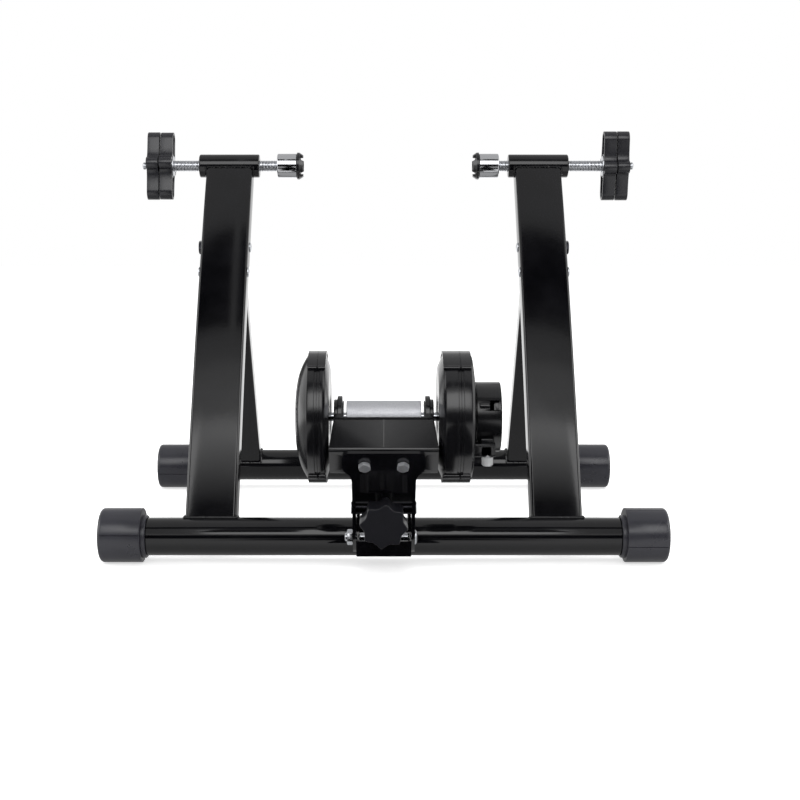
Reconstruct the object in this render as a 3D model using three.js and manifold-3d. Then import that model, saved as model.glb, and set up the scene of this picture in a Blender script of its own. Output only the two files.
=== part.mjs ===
// Folding bicycle trainer stand with a clamp for the rear axle and a magnetic roller unit.
// Millimetres, +Z up, +X to the rider's side that carries the brake, the roller unit towards -Y.
// The origin lies on the floor, under the middle of the stand.

import * as THREE from 'three';
import { mergeVertices } from 'three/addons/utils/BufferGeometryUtils.js';
import Module from 'manifold-3d';

const wasm = await Module();
wasm.setup();

// Driving dimensions of the stand.
const overallWidth = 550;        // across the foot caps
const overallDepth = 405;        // from the front feet to the rear feet
const axleHeight = 386.6;          // clamp axis above the floor
const axleSetback = 224.9;         // clamp axis behind the front ground tube
const rollerHeight = 153;        // roller axis above the floor
const rollerLead = 62.9;           // roller axis in front of the front ground tube
const fit = 0.3;                 // gap left between pieces that touch
const overrun = 5;               // how far a cutting solid passes the face that it cuts

// Ground tubes and their levelling end caps.
const tubeRadius = 18.5;
const tubeWall = 1.8;
const footRadius = 26.4;
const footOffset = 1.4;          // the cap's body is off centre, so turning it levels the stand
const footLength = 41;
const footEndWall = 4;
const footLipLength = 4;
const footLipWall = 2;
const footEdge = 4;
const footGrooveWidth = 1.2;
const footGrooveDepth = 0.7;

// Front legs: bowed steel channels, open to the rear.
const legInset = 106.6;          // middle of a leg from the end of the foot caps
const legSpread = overallWidth / 2 - legInset;
const legWidth = 50;
const legDepth = 22;
const legWall = 2;
const legBow = 8.2;              // how far the leg stands out from a straight line
const legFootLead = 1;           // the leg's face passes this far in front of the ground tube's axis
const legHeadLead = 10;          // and this far in front of the clamp sleeve's axis

// Rear legs: straight box tubes that fold into the channels.
const rearLegDepth = 22;
const rearLegWall = 1.8;
const rearLegSideGap = 4.6;
const foldAlong = 308;           // fold bolt, measured up the front leg
const foldBehind = 15;           // and behind its face
const stopBelow = 35.5;            // stop rivet, measured down the leg from the fold bolt
const stopBehind = 7;
const foldBoltRadius = 4;
const foldBushRadius = 8;
const foldHeadRadius = 7;
const foldHeadHeight = 3;
const foldNutRadius = 7.5;
const foldNutHeight = 6;
const foldThreadProud = 2;
const stopRivetRadius = 3.5;
const stopHeadRadius = 5.5;
const stopHeadHeight = 2;

// Axle clamps.
const sleeveRadius = 12.6;
const sleeveLength = 65.6;
const sleeveOut = 0.8;           // the sleeve's middle, outside the leg's
const sleeveSpread = legSpread + sleeveOut;
const screwRadius = 6;
const screwNeckRadius = 4;
const leftTipIn = 80.7;          // how far each clamp's tip is screwed in from its sleeve's middle
const rightTipIn = 71.5;
const leftTipReach = sleeveSpread - leftTipIn;
const rightTipReach = sleeveSpread - rightTipIn;
const tipLength = 6.7;
const tipRadius = 14.7;
const tipBore = 9.5;
const tipNotchWidth = 7;
const tipNotchDepth = 3;
const cupLength = 21.2;
const cupRadius = 13.4;
const cupBore = 9;
const cupFloor = 5;
const cupChamfer = 1;
const clampLength = 170.4;       // from the tip to the outer face of the hand wheel
const screwEndProud = 6;
const rivetRadius = 6;
const rivetHeight = 2;
const handWheelThickness = 13;
const lockWheelThickness = 13.5;
const wheelGap = 1.2;
const wheelReach = 37.6;           // from the axis to the end of a hand wheel's long arm
const wheelArmRadius = 9;
const wheelWaistReach = 19;      // to the end of its short arm
const wheelWaistRadius = 7;
const lockWasherThickness = 1.6;
const lockWasherRadius = 11;
const lockWasherSink = 1.3;      // how deep the washer sits in the wheel's face

// Bracket that carries the roller unit.
const plateThickness = 3;
const bracketPivotLead = 37.8;     // pivot bolt in front of the front ground tube's axis
const bracketPivotHeight = 33.7;
const bracketHalfWidth = 29;
const bracketBossRadius = 13;
const baseBarrelLead = 19.5;       // threaded barrel in front of the ground tube's axis
const baseBarrelHeight = 75.3;
const baseLugRadius = 10;
const plateRiseShare = 1.2;      // where the plates leave the ground tube, as a share of its radius
const swingBarrelShare = 0.302;  // place of the swinging barrel, from the pivot bolt to the roller
const swingBarrelForward = 13.7; // and in front of that line
const barrelRadius = 6;
const barrelProud = 1.5;
const adjusterRadius = 4;
const adjusterSlack = 0.8;       // room round the screw in the base barrel
const swingBarrelSlack = 0.6;    // and round the swinging barrel's ends
const adjusterTail = 12;         // thread that shows past the base barrel
const pivotBoltRadius = 4;
const pivotHeadRadius = 7;
const pivotHeadHeight = 3;
const pivotNutRadius = 7.5;
const pivotNutHeight = 6.5;
const knobRadius = 22;
const knobLobes = 8;
const knobLobeDepth = 2.8;
const knobThickness = 18.3;
const knobFaceReach = 42.2;      // from the swinging barrel to the knob's face
const knobHubRadius = 8;
const springRadius = 7.2;
const springWire = 1.5;
const springTurns = 6;

// Roller, its cradle and the two housings beside it.
const rollerRadius = 14.8;
const rollerHalf = 34;
const shaftRadius = 4;
const collarRadius = 19.2;
const collarStep = 3.2;
const collarFrom = 36.1;
const collarTo = 43.8;
const collarLip = 1.6;
const bearingRadius = 11;
const cradleBaseHalf = 16.3;
const cradleTopHalf = 22.9;
const cradleRim = 20.4;            // the cradle's rim, below the roller's axis
const cradleSaddleRim = 14.2;
const cradleWall = 3;
const cradleFloor = 6;
const flangeDrop = 58;           // outer face of the bracket's plate, below the roller's axis
const flangeHalfWidth = 37.1;
const flangeAbove = 13.2;          // the plate's top edge, past the roller's axis
const flangeBelow = 38.7;          // and its lower edge
const flangeCorner = 8;
const cradleBoltSpread = 17.1;
const cradleBoltRadius = 3;
const cradleBoltHead = 5.7;
const cradleBoltHeadHeight = 4;
const cradleBoltLength = 12;
const housingRadius = 58.5;
const housingWall = 2.2;
const housingFace = 48.8;          // the housings' inner faces, from the middle of the unit
const housingHubDip = 3;
const housingHubBore = 7;
const dishShare = 0.78;          // places on a cover's section, as shares of its radius and its rise
const bulgeShare = 0.8;
const bulgeRiseShare = 0.45;
const crownShare = 0.55;
const crownRiseShare = 0.85;
const flywheelRimShare = 0.8;
const padHeight = 2.5;
const padHalfAngle = THREE.MathUtils.degToRad(34);
const flywheelRimStart = 51.9;
const flywheelSeam = 59;
const flywheelRimEnd = 69.6;
const flywheelDome = 80.4;
const flywheelGap = 3.3;         // room round the flywheel in its housing
const flywheelRadius = housingRadius - housingWall - flywheelGap;
const flywheelThickness = 10;
const brakeRimStart = 52.9;
const brakeSeam = 68.2;
const brakeRimEnd = 79.8;
const brakeFace = 83.2;
const rotorGap = 5.3;            // room round the rotor in the brake's housing
const rotorRadius = housingRadius - housingWall - rotorGap;
const rotorThickness = 3.5;
const rotorHubRadius = 12;
const rotorHubLength = 7;
const magnetRingGap = 9.3;
const magnetRingRadius = housingRadius - housingWall - magnetRingGap;
const magnetRingThickness = 6;
const magnetRadius = 8;
const magnetEdge = 5;            // from a magnet to the ring's edge
const magnetCircle = magnetRingRadius - magnetEdge - magnetRadius;
const magnetHeight = 4;
const magnetCount = 8;
const spindleRadius = 5;
const drumRadius = 32;
const drumEnd = 106;
const drumWall = 3;
const drumHubRadius = 9;
const drumNotchWidth = 8;
const drumNotchHeight = 10;
const drumNotchDepth = 4;
const drumNotchAngle = THREE.MathUtils.degToRad(27);
const drumKeyLength = 12;
const drumKeyRadius = 3;
const cableLugWidth = 14;
const cableLugFrom = 85.5;
const cableLugTop = 14.2;          // the lug's top and bottom, below the roller's axis
const cableLugBottom = 30.5;
const cableLugFront = 38.6;        // and its front face, in front of it
const cableLugBack = 25.6;
const cableInletRadius = 5.2;
const cableInletLength = 8;
const cableInletStem = 3;
const cableInletStemLength = 8;
const cableBore = 1.3;

// Facets: how finely round shapes are divided.
const fineSides = 28;
const roundSides = 20;
const smallSides = 12;
const hexSides = 6;

// Finishes, as the colours of the real surfaces.
const finishes = {
  paint: new THREE.MeshStandardMaterial({ color: '#141416', roughness: 0.2, metalness: 0.1 }),
  abs: new THREE.MeshStandardMaterial({ color: '#17171a', roughness: 0.28, metalness: 0 }),
  rubber: new THREE.MeshStandardMaterial({ color: '#34343a', roughness: 0.6, metalness: 0 }),
  chrome: new THREE.MeshStandardMaterial({ color: '#d8d8da', roughness: 0.08, metalness: 1 }),
  zinc: new THREE.MeshStandardMaterial({ color: '#b9bbbf', roughness: 0.3, metalness: 1 }),
  aluminium: new THREE.MeshStandardMaterial({ color: '#c9cacc', roughness: 0.35, metalness: 1 }),
  castIron: new THREE.MeshStandardMaterial({ color: '#4a4a4d', roughness: 0.6, metalness: 0.8 }),
  nylon: new THREE.MeshStandardMaterial({ color: '#c8c8c2', roughness: 0.4, metalness: 0 }),
};

const axisX = new THREE.Vector3(1, 0, 0);
const axisY = new THREE.Vector3(0, 1, 0);
const axisZ = new THREE.Vector3(0, 0, 1);

// A closed solid from a three.js geometry, with its faces turned outwards.
function solidOf(geometry) {
  const bare = geometry.clone();
  bare.deleteAttribute('normal');
  bare.deleteAttribute('uv');
  const merged = mergeVertices(bare);
  const places = merged.attributes.position.array;
  const corners = merged.index.array;
  const faces = [];
  const [a, b, c] = [new THREE.Vector3(), new THREE.Vector3(), new THREE.Vector3()];
  let volume = 0;
  for (let i = 0; i < corners.length; i += 3) {
    const [p, q, r] = [corners[i], corners[i + 1], corners[i + 2]];
    if (p === q || q === r || r === p) continue;
    faces.push(p, q, r);
    a.fromArray(places, p * 3);
    b.fromArray(places, q * 3);
    c.fromArray(places, r * 3);
    volume += a.dot(b.cross(c));
  }
  if (volume < 0) faces.reverse();
  const mesh = new wasm.Mesh({
    numProp: 3,
    vertProperties: new Float32Array(places),
    triVerts: new Uint32Array(faces),
  });
  return new wasm.Manifold(mesh);
}

function geometryOf(solid) {
  const mesh = solid.getMesh();
  const geometry = new THREE.BufferGeometry();
  geometry.setAttribute('position', new THREE.BufferAttribute(new Float32Array(mesh.vertProperties), 3));
  geometry.setIndex(new THREE.BufferAttribute(new Uint32Array(mesh.triVerts), 1));
  geometry.computeVertexNormals();
  return geometry;
}

function joined(first, ...others) {
  return others.reduce((whole, piece) => whole.add(piece), first);
}

function cut(first, ...tools) {
  return tools.reduce((whole, tool) => whole.subtract(tool), first);
}

// A solid turned about the X axis from [radius, x] pairs, the profile closed on itself.
function turned(profile, sides = roundSides) {
  const points = profile.map(([radius, x]) => new THREE.Vector2(radius, x));
  points.push(points[0].clone());
  const geometry = new THREE.LatheGeometry(points, sides);
  geometry.rotateZ(-Math.PI / 2);
  return solidOf(geometry);
}

// A bar along X between two places, at (y, z).
function bar(radius, from, to, y = 0, z = 0, sides = roundSides) {
  const geometry = new THREE.CylinderGeometry(radius, radius, Math.abs(to - from), sides);
  geometry.rotateZ(-Math.PI / 2);
  geometry.translate((from + to) / 2, y, z);
  return solidOf(geometry);
}

function tube(outer, inner, from, to, sides = roundSides) {
  return cut(bar(outer, from, to, 0, 0, sides), bar(inner, from - overrun, to + overrun, 0, 0, sides));
}

function block(fromX, toX, fromY, toY, fromZ, toZ) {
  const geometry = new THREE.BoxGeometry(toX - fromX, toY - fromY, toZ - fromZ);
  geometry.translate((fromX + toX) / 2, (fromY + toY) / 2, (fromZ + toZ) / 2);
  return solidOf(geometry);
}

// An outline of [u, v, radius] corners, each rounded by its own radius.
function roundedOutline(corners) {
  const shape = new THREE.Shape();
  const count = corners.length;
  corners.forEach(([u, v, radius = 0], i) => {
    const here = new THREE.Vector2(u, v);
    const before = new THREE.Vector2(...corners[(i + count - 1) % count]).sub(here);
    const after = new THREE.Vector2(...corners[(i + 1) % count]).sub(here);
    const start = here.clone().add(before.setLength(Math.min(radius, before.length() / 2)));
    const end = here.clone().add(after.setLength(Math.min(radius, after.length() / 2)));
    if (i === 0) shape.moveTo(start.x, start.y);
    else shape.lineTo(start.x, start.y);
    if (radius > 0) shape.quadraticCurveTo(here.x, here.y, end.x, end.y);
  });
  shape.closePath();
  return shape;
}

// An outline drawn in Y and Z, pushed along X between two places.
const sideOn = new THREE.Matrix4().makeBasis(axisY, axisZ, axisX);
function sidePlate(shape, from, to, curveSegments = 4) {
  const geometry = new THREE.ExtrudeGeometry(shape, {
    depth: to - from,
    bevelEnabled: false,
    curveSegments,
  });
  geometry.applyMatrix4(sideOn);
  geometry.translate(from, 0, 0);
  return solidOf(geometry);
}

// An outline drawn in X and Y, pushed along Z between two places.
function flatPlate(shape, from, to, curveSegments = 4) {
  const geometry = new THREE.ExtrudeGeometry(shape, {
    depth: to - from,
    bevelEnabled: false,
    curveSegments,
  });
  geometry.translate(0, 0, from);
  return solidOf(geometry);
}

function addPart(group, name, solid, material) {
  const mesh = new THREE.Mesh(geometryOf(solid), material.clone());
  mesh.name = name;
  group.add(mesh);
  return mesh;
}

const sides = [
  { name: 'left', sign: -1, tipReach: leftTipReach, grooveTurn: 12, wheelTurn: -13, lockTurn: -15 },
  { name: 'right', sign: 1, tipReach: rightTipReach, grooveTurn: -13, wheelTurn: 6, lockTurn: 8 },
];

const trainer = new THREE.Group();

// Places in the YZ plane that everything hangs on, with Y measured from the front ground tube.
const frontTubeHeight = footRadius - footOffset;
const rearTubeHeight = footRadius + footOffset;
const rearTubeSetback = overallDepth - 2 * footRadius;
const tubeEnd = overallWidth / 2 - footEndWall - fit;

// The front leg's face is an arc, given by its foot, its head and its bow.
const legFoot = new THREE.Vector2(-legFootLead, frontTubeHeight + tubeRadius);
const sleeveAxis = new THREE.Vector2(axleSetback, axleHeight);
const toSleeve = sleeveAxis.clone().sub(legFoot);
const headAngle = toSleeve.angle() + Math.asin(legHeadLead / toSleeve.length());
const chordLength = Math.sqrt(toSleeve.lengthSq() - legHeadLead * legHeadLead);
const chord = new THREE.Vector2(Math.cos(headAngle), Math.sin(headAngle));
const outward = new THREE.Vector2(-chord.y, chord.x);
const legRadius = chordLength * chordLength / (8 * legBow) + legBow / 2;
const legMiddle = legFoot.clone().addScaledVector(chord, chordLength / 2);
const legCentre = legMiddle.clone().addScaledVector(outward, legBow - legRadius);
const footTurn = legFoot.clone().sub(legCentre).angle();

// A place on the front leg, by its distance up the face and behind it.
function onLeg(along, behind) {
  const turn = footTurn - along / legRadius;
  const radius = legRadius - behind;
  return {
    y: legCentre.x + radius * Math.cos(turn),
    z: legCentre.y + radius * Math.sin(turn),
    normal: new THREE.Vector2(Math.cos(turn), Math.sin(turn)),
  };
}

// A strip of the leg's side view between two depths behind its face, running past both ends.
function legStrip(outer, inner) {
  const spare = legDepth / legRadius;
  const low = footTurn + spare;
  const high = footTurn - chordLength / legRadius - spare;
  const strip = new THREE.Shape();
  strip.absarc(legCentre.x, legCentre.y, legRadius - outer, low, high, true);
  strip.absarc(legCentre.x, legCentre.y, legRadius - inner, high, low, false);
  strip.closePath();
  return strip;
}

// Foot cap: a heavy plastic cup, off centre on its tube, with a thin lip and four grooves.
function footCap(grooveTurn) {
  const start = overallWidth / 2 - footLength;
  const end = overallWidth / 2;
  const body = turned([
    [0, start],
    [footRadius - footEdge / 4, start],
    [footRadius, start + footEdge / 4],
    [footRadius, end - footEdge],
    [footRadius - footEdge / 3, end - footEdge / 3],
    [footRadius - footEdge, end],
    [0, end],
  ], fineSides).translate([0, 0, footOffset]);
  const lip = bar(tubeRadius + fit + footLipWall, start - footLipLength, start + overrun);
  const bore = bar(tubeRadius + fit, start - footLipLength - overrun, end - footEndWall);
  let cap = cut(joined(body, lip), bore);
  const quarter = Math.PI / 2;
  for (let i = 0; i < 4; i += 1) {
    const turn = THREE.MathUtils.degToRad(grooveTurn) + i * quarter;
    const groove = new THREE.BoxGeometry(footLength + 2 * overrun, 2 * footGrooveDepth, footGrooveWidth);
    groove.translate((start + end) / 2, -footRadius, 0);
    groove.rotateX(-turn);
    groove.translate(0, 0, footOffset);
    cap = cap.subtract(solidOf(groove));
  }
  return cap;
}

// Rear frame: turns on the fold bolts. Its group hangs straight down before it is opened.
const foldPivot = onLeg(foldAlong, foldBehind);
const rearTubeCentre = new THREE.Vector2(rearTubeSetback, rearTubeHeight);
const rearReach = rearTubeCentre.clone().sub(new THREE.Vector2(foldPivot.y, foldPivot.z));
const rearLegLength = rearReach.length();
const rearTilt = Math.atan2(rearReach.x, -rearReach.y);
const rearFrame = new THREE.Group();
rearFrame.position.set(0, foldPivot.y, foldPivot.z);
rearFrame.rotation.x = rearTilt;
const rearTubeGroup = new THREE.Group();
rearTubeGroup.position.z = -rearLegLength;
rearTubeGroup.rotation.x = -rearTilt;
rearFrame.add(rearTubeGroup);
const frontTubeGroup = new THREE.Group();
frontTubeGroup.position.z = frontTubeHeight;
trainer.add(rearFrame, frontTubeGroup);

addPart(frontTubeGroup, 'front_ground_tube',
  tube(tubeRadius, tubeRadius - tubeWall, -tubeEnd, tubeEnd, fineSides), finishes.paint);
addPart(rearTubeGroup, 'rear_ground_tube',
  tube(tubeRadius, tubeRadius - tubeWall, -tubeEnd, tubeEnd, fineSides), finishes.paint);

// Side view of a rear leg: its head is cut to bear on the front leg's face when it is open.
function rearLegOutline() {
  const half = rearLegDepth / 2;
  const reach = foldBehind - legWall - fit;
  const bearing = foldPivot.normal.clone().rotateAround(new THREE.Vector2(), -rearTilt);
  const bearingTurn = bearing.angle();
  const backTop = (reach - bearing.x * half) / bearing.y;
  const shape = new THREE.Shape();
  shape.moveTo(half, -rearLegLength);
  shape.lineTo(half, backTop);
  shape.absarc(0, 0, reach, bearingTurn, Math.PI - Math.acos(Math.min(1, half / reach)), false);
  shape.lineTo(-half, -rearLegLength);
  shape.closePath();
  return shape;
}

sides.forEach(({ name, sign, grooveTurn }) => {
  const legMid = sign * legSpread;
  const half = legWidth / 2;

  // Front leg: a channel whose ends are notched round the ground tube and the sleeve.
  const shell = sidePlate(legStrip(0, legDepth), legMid - half, legMid + half, 12);
  const hollow = sidePlate(legStrip(legWall, legDepth + overrun),
    legMid - half + legWall, legMid + half - legWall, 12);
  const footNotch = bar(tubeRadius + fit, legMid - legWidth, legMid + legWidth, 0, frontTubeHeight, fineSides);
  const belowFoot = block(legMid - legWidth, legMid + legWidth,
    -legWidth, legWidth, -legWidth, frontTubeHeight);
  const headNotch = bar(sleeveRadius + fit, legMid - legWidth, legMid + legWidth,
    axleSetback, axleHeight, fineSides);
  const aboveHead = new THREE.BoxGeometry(2 * legWidth, 2 * legDepth, legDepth);
  aboveHead.translate(0, 0, legDepth / 2);
  aboveHead.rotateX(headAngle - Math.PI / 2);
  aboveHead.translate(legMid, axleSetback, axleHeight);
  const stopPlace = onLeg(foldAlong - stopBelow, stopBehind);
  const boltHole = bar(foldBoltRadius + fit, legMid - legWidth, legMid + legWidth,
    foldPivot.y, foldPivot.z, smallSides);
  const stopHole = bar(stopRivetRadius + fit, legMid - legWidth, legMid + legWidth,
    stopPlace.y, stopPlace.z, smallSides);
  addPart(trainer, `front_leg_${name}`,
    cut(shell, hollow, footNotch, belowFoot, headNotch, solidOf(aboveHead), boltHole, stopHole),
    finishes.paint);

  // Clamp sleeve: a threaded tube welded across the top of the leg.
  const sleeveMid = sign * sleeveSpread;
  addPart(trainer, `clamp_sleeve_${name}`,
    tube(sleeveRadius, screwRadius + fit, sleeveMid - sleeveLength / 2, sleeveMid + sleeveLength / 2)
      .translate([0, axleSetback, axleHeight]),
    finishes.paint);

  // Fold bolt with a low round head inside and a nut outside.
  const inner = legSpread - half - fit;
  const outer = legSpread + half + fit;
  const nutEnd = outer + foldNutHeight;
  const bolt = joined(
    turned([
      [0, inner - foldHeadHeight],
      [foldHeadRadius / 2, inner - foldHeadHeight],
      [foldHeadRadius, inner - foldHeadHeight / 3],
      [foldHeadRadius, inner],
      [0, inner],
    ], smallSides),
    bar(foldBoltRadius, inner - foldHeadHeight / 2, nutEnd + foldThreadProud, 0, 0, smallSides),
  );
  const nut = cut(
    bar(foldNutRadius, outer, nutEnd, 0, 0, hexSides),
    bar(foldBoltRadius + fit, outer - overrun, nutEnd + overrun, 0, 0, smallSides),
  );
  const turn = [0, 0, sign > 0 ? 0 : 180];
  const place = [0, foldPivot.y, foldPivot.z];
  addPart(trainer, `fold_bolt_${name}`, bolt.rotate(turn).translate(place), finishes.zinc);
  addPart(trainer, `fold_nut_${name}`, nut.rotate(turn).translate(place), finishes.zinc);

  // Stop rivet: the folded rear leg rests on it.
  const rivet = joined(
    bar(stopRivetRadius, inner - stopHeadHeight / 2, outer + stopHeadHeight / 2, 0, 0, smallSides),
    turned([
      [0, inner - stopHeadHeight],
      [stopHeadRadius / 2, inner - stopHeadHeight],
      [stopHeadRadius, inner],
      [0, inner],
    ], smallSides),
    turned([
      [0, outer],
      [stopHeadRadius, outer],
      [stopHeadRadius / 2, outer + stopHeadHeight],
      [0, outer + stopHeadHeight],
    ], smallSides),
  );
  addPart(trainer, `stop_rivet_${name}`,
    rivet.rotate(turn).translate([0, stopPlace.y, stopPlace.z]), finishes.zinc);

  // Rear leg and the bush that it turns on.
  const rearHalf = half - legWall - rearLegSideGap;
  const rearShell = sidePlate(rearLegOutline(), legMid - rearHalf, legMid + rearHalf, 6);
  const rearInside = block(
    legMid - rearHalf + rearLegWall, legMid + rearHalf - rearLegWall,
    rearLegWall - rearLegDepth / 2, rearLegDepth / 2 - rearLegWall,
    -rearLegLength - overrun, rearLegDepth + overrun,
  );
  const saddle = bar(tubeRadius + fit, legMid - legWidth, legMid + legWidth, 0, -rearLegLength, fineSides);
  const bushHole = bar(foldBushRadius + fit, legMid - legWidth, legMid + legWidth);
  addPart(rearFrame, `rear_leg_${name}`, cut(rearShell, rearInside, saddle, bushHole), finishes.paint);
  const bushHalf = half - legWall - fit;
  addPart(rearFrame, `fold_bush_${name}`,
    tube(foldBushRadius, foldBoltRadius + fit, legMid - bushHalf, legMid + bushHalf), finishes.nylon);

  // Foot caps: the front pair is turned to its lowest place and the rear pair to its highest.
  const frontCap = footCap(sign * grooveTurn).rotate(turn);
  const rearCap = footCap(-sign * grooveTurn).rotate([180, 0, 0]).rotate(turn);
  addPart(frontTubeGroup, `foot_cap_front_${name}`, frontCap, finishes.rubber);
  addPart(rearTubeGroup, `foot_cap_rear_${name}`, rearCap, finishes.rubber);
});

// Hand wheel outline: a bar handle with two long arms and two short ones.
function wheelOutline() {
  const shape = new THREE.Shape();
  const longStart = wheelReach - wheelArmRadius;
  const shortStart = wheelWaistReach - wheelWaistRadius;
  const notch = wheelArmRadius + fit;
  shape.absarc(0, longStart, wheelArmRadius, 0, Math.PI, false);
  shape.quadraticCurveTo(-wheelArmRadius, notch, -shortStart, wheelWaistRadius);
  shape.absarc(-shortStart, 0, wheelWaistRadius, Math.PI / 2, Math.PI * 3 / 2, false);
  shape.quadraticCurveTo(-wheelArmRadius, -notch, -wheelArmRadius, -longStart);
  shape.absarc(0, -longStart, wheelArmRadius, Math.PI, Math.PI * 2, false);
  shape.quadraticCurveTo(wheelArmRadius, -notch, shortStart, -wheelWaistRadius);
  shape.absarc(shortStart, 0, wheelWaistRadius, -Math.PI / 2, Math.PI / 2, false);
  shape.quadraticCurveTo(wheelArmRadius, notch, wheelArmRadius, longStart);
  shape.closePath();
  return shape;
}

// Axle clamps. Each is built pointing to +X and turned round for the left side.
sides.forEach(({ name, sign, tipReach, wheelTurn, lockTurn }) => {
  const clamp = new THREE.Group();
  clamp.position.set(0, axleSetback, axleHeight);
  clamp.rotation.z = sign > 0 ? 0 : Math.PI;
  trainer.add(clamp);

  const tipEnd = tipReach + tipLength;
  const cupStart = tipEnd + fit;
  const cupEnd = cupStart + cupLength;
  const wheelEnd = tipReach + clampLength;
  const wheelStart = wheelEnd - handWheelThickness;
  const lockEnd = wheelStart - wheelGap;
  const lockStart = lockEnd - lockWheelThickness;

  // Jaw tip: a plastic ring with four notches that grip the axle nut.
  const ring = turned([
    [tipBore, tipReach],
    [tipRadius - cupChamfer, tipReach],
    [tipRadius, tipReach + cupChamfer],
    [tipRadius, tipEnd],
    [tipBore, tipEnd],
  ]);
  const notchX = block(tipReach - overrun, tipReach + tipNotchDepth,
    -tipRadius - overrun, tipRadius + overrun, -tipNotchWidth / 2, tipNotchWidth / 2);
  const notches = joined(notchX, notchX.rotate([90, 0, 0]));
  addPart(clamp, `jaw_tip_${name}`, cut(ring, notches), finishes.abs);

  // Axle cup: a chromed steel cup that stays still while the screw turns in its floor.
  const cup = turned([
    [cupBore, cupStart],
    [cupRadius, cupStart],
    [cupRadius, cupEnd - cupChamfer],
    [cupRadius - cupChamfer, cupEnd],
    [screwNeckRadius + fit, cupEnd],
    [screwNeckRadius + fit, cupEnd - cupFloor],
    [cupBore, cupEnd - cupFloor],
  ]);
  addPart(clamp, `axle_cup_${name}`, cup, finishes.chrome);

  // Clamp screw: its neck is riveted over in the cup, its end over the hand wheel.
  const neckStart = cupEnd - cupFloor - fit;
  const screw = turned([
    [0, neckStart - rivetHeight],
    [rivetRadius, neckStart - rivetHeight],
    [rivetRadius, neckStart],
    [screwNeckRadius, neckStart],
    [screwNeckRadius, cupEnd + fit],
    [screwRadius, cupEnd + fit],
    [screwRadius, wheelStart - fit],
    [screwNeckRadius, wheelStart - fit],
    [screwNeckRadius, wheelEnd + screwEndProud],
    [0, wheelEnd + screwEndProud],
  ], smallSides);
  addPart(clamp, `clamp_screw_${name}`, screw, finishes.zinc);

  const handWheel = cut(
    sidePlate(wheelOutline(), wheelStart, wheelEnd, 5).rotate([wheelTurn * sign, 0, 0]),
    bar(screwNeckRadius + fit, wheelStart - overrun, wheelEnd + overrun, 0, 0, smallSides),
  );
  addPart(clamp, `hand_wheel_${name}`, handWheel, finishes.abs);

  // Lock wheel: a second wheel, threaded on the screw, that is tightened against the sleeve.
  const lockWheel = cut(
    sidePlate(wheelOutline(), lockStart, lockEnd, 5).rotate([lockTurn * sign, 0, 0]),
    bar(screwRadius + fit, lockStart - overrun, lockEnd + overrun, 0, 0, smallSides),
    bar(lockWasherRadius + fit, lockStart - overrun, lockStart + lockWasherSink, 0, 0, fineSides),
  );
  addPart(clamp, `lock_wheel_${name}`, lockWheel, finishes.abs);
  const washerEnd = lockStart + lockWasherSink - fit;
  addPart(clamp, `lock_washer_${name}`,
    tube(lockWasherRadius, screwRadius + fit, washerEnd - lockWasherThickness, washerEnd, fineSides),
    finishes.zinc);
});

// Roller unit: its own frame has the roller's axis as X and points its +Z at the axle.
const unitTilt = -Math.atan2(axleSetback + rollerLead, axleHeight - rollerHeight);
const unit = new THREE.Group();
unit.position.set(0, -rollerLead, rollerHeight);
unit.rotation.x = unitTilt;
trainer.add(unit);

// A place given in the stand's frame, seen from the roller unit's frame.
function inUnit(y, z) {
  const place = new THREE.Vector2(y + rollerLead, z - rollerHeight);
  return place.rotateAround(new THREE.Vector2(), -unitTilt);
}

const bracketPivot = new THREE.Vector2(-bracketPivotLead, bracketPivotHeight);
const rollerCentre = new THREE.Vector2(-rollerLead, rollerHeight);
const arm = rollerCentre.clone().sub(bracketPivot);
const swingBarrel = bracketPivot.clone()
  .addScaledVector(arm, swingBarrelShare)
  .addScaledVector(new THREE.Vector2(-arm.y, arm.x).normalize(), swingBarrelForward);
const baseBarrel = new THREE.Vector2(-baseBarrelLead, baseBarrelHeight);
const barrelSpan = baseBarrel.distanceTo(swingBarrel);
const adjusterTilt = Math.atan2(baseBarrel.y - swingBarrel.y, baseBarrel.x - swingBarrel.x);

// Base bracket: two plates and a front lip, welded to the front ground tube.
const baseHalf = bracketHalfWidth - plateThickness - fit;
const lipFront = -bracketPivotLead - bracketBossRadius - plateThickness;
const lipBottom = bracketPivotHeight - bracketBossRadius - plateThickness;
const baseOutline = roundedOutline([
  [0, frontTubeHeight + tubeRadius * plateRiseShare, 0],
  [-baseBarrelLead + baseLugRadius, baseBarrelHeight + baseLugRadius, baseLugRadius],
  [-baseBarrelLead - baseLugRadius, baseBarrelHeight + baseLugRadius, baseLugRadius],
  [-baseBarrelLead - baseLugRadius, baseBarrelHeight - baseLugRadius, baseLugRadius],
  [lipFront, bracketPivotHeight + plateThickness, baseLugRadius],
  [lipFront, lipBottom, plateThickness],
  [0, lipBottom, 0],
]);
const basePlates = [
  sidePlate(baseOutline, -baseHalf, plateThickness - baseHalf),
  sidePlate(baseOutline, baseHalf - plateThickness, baseHalf),
];
const lip = joined(
  block(-baseHalf, baseHalf, lipFront, lipFront + plateThickness, lipBottom, bracketPivotHeight),
  block(-baseHalf, baseHalf, lipFront, 0, lipBottom, lipBottom + plateThickness),
);
const tubeNotch = bar(tubeRadius + fit, -legWidth, legWidth, 0, frontTubeHeight, fineSides);
const basePivotHole = bar(pivotBoltRadius + fit, -legWidth, legWidth,
  bracketPivot.x, bracketPivot.y, smallSides);
const baseBarrelHole = bar(barrelRadius + fit, -legWidth, legWidth, baseBarrel.x, baseBarrel.y, smallSides);
addPart(trainer, 'base_bracket',
  cut(joined(...basePlates, lip), tubeNotch, basePivotHole, baseBarrelHole), finishes.paint);

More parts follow.
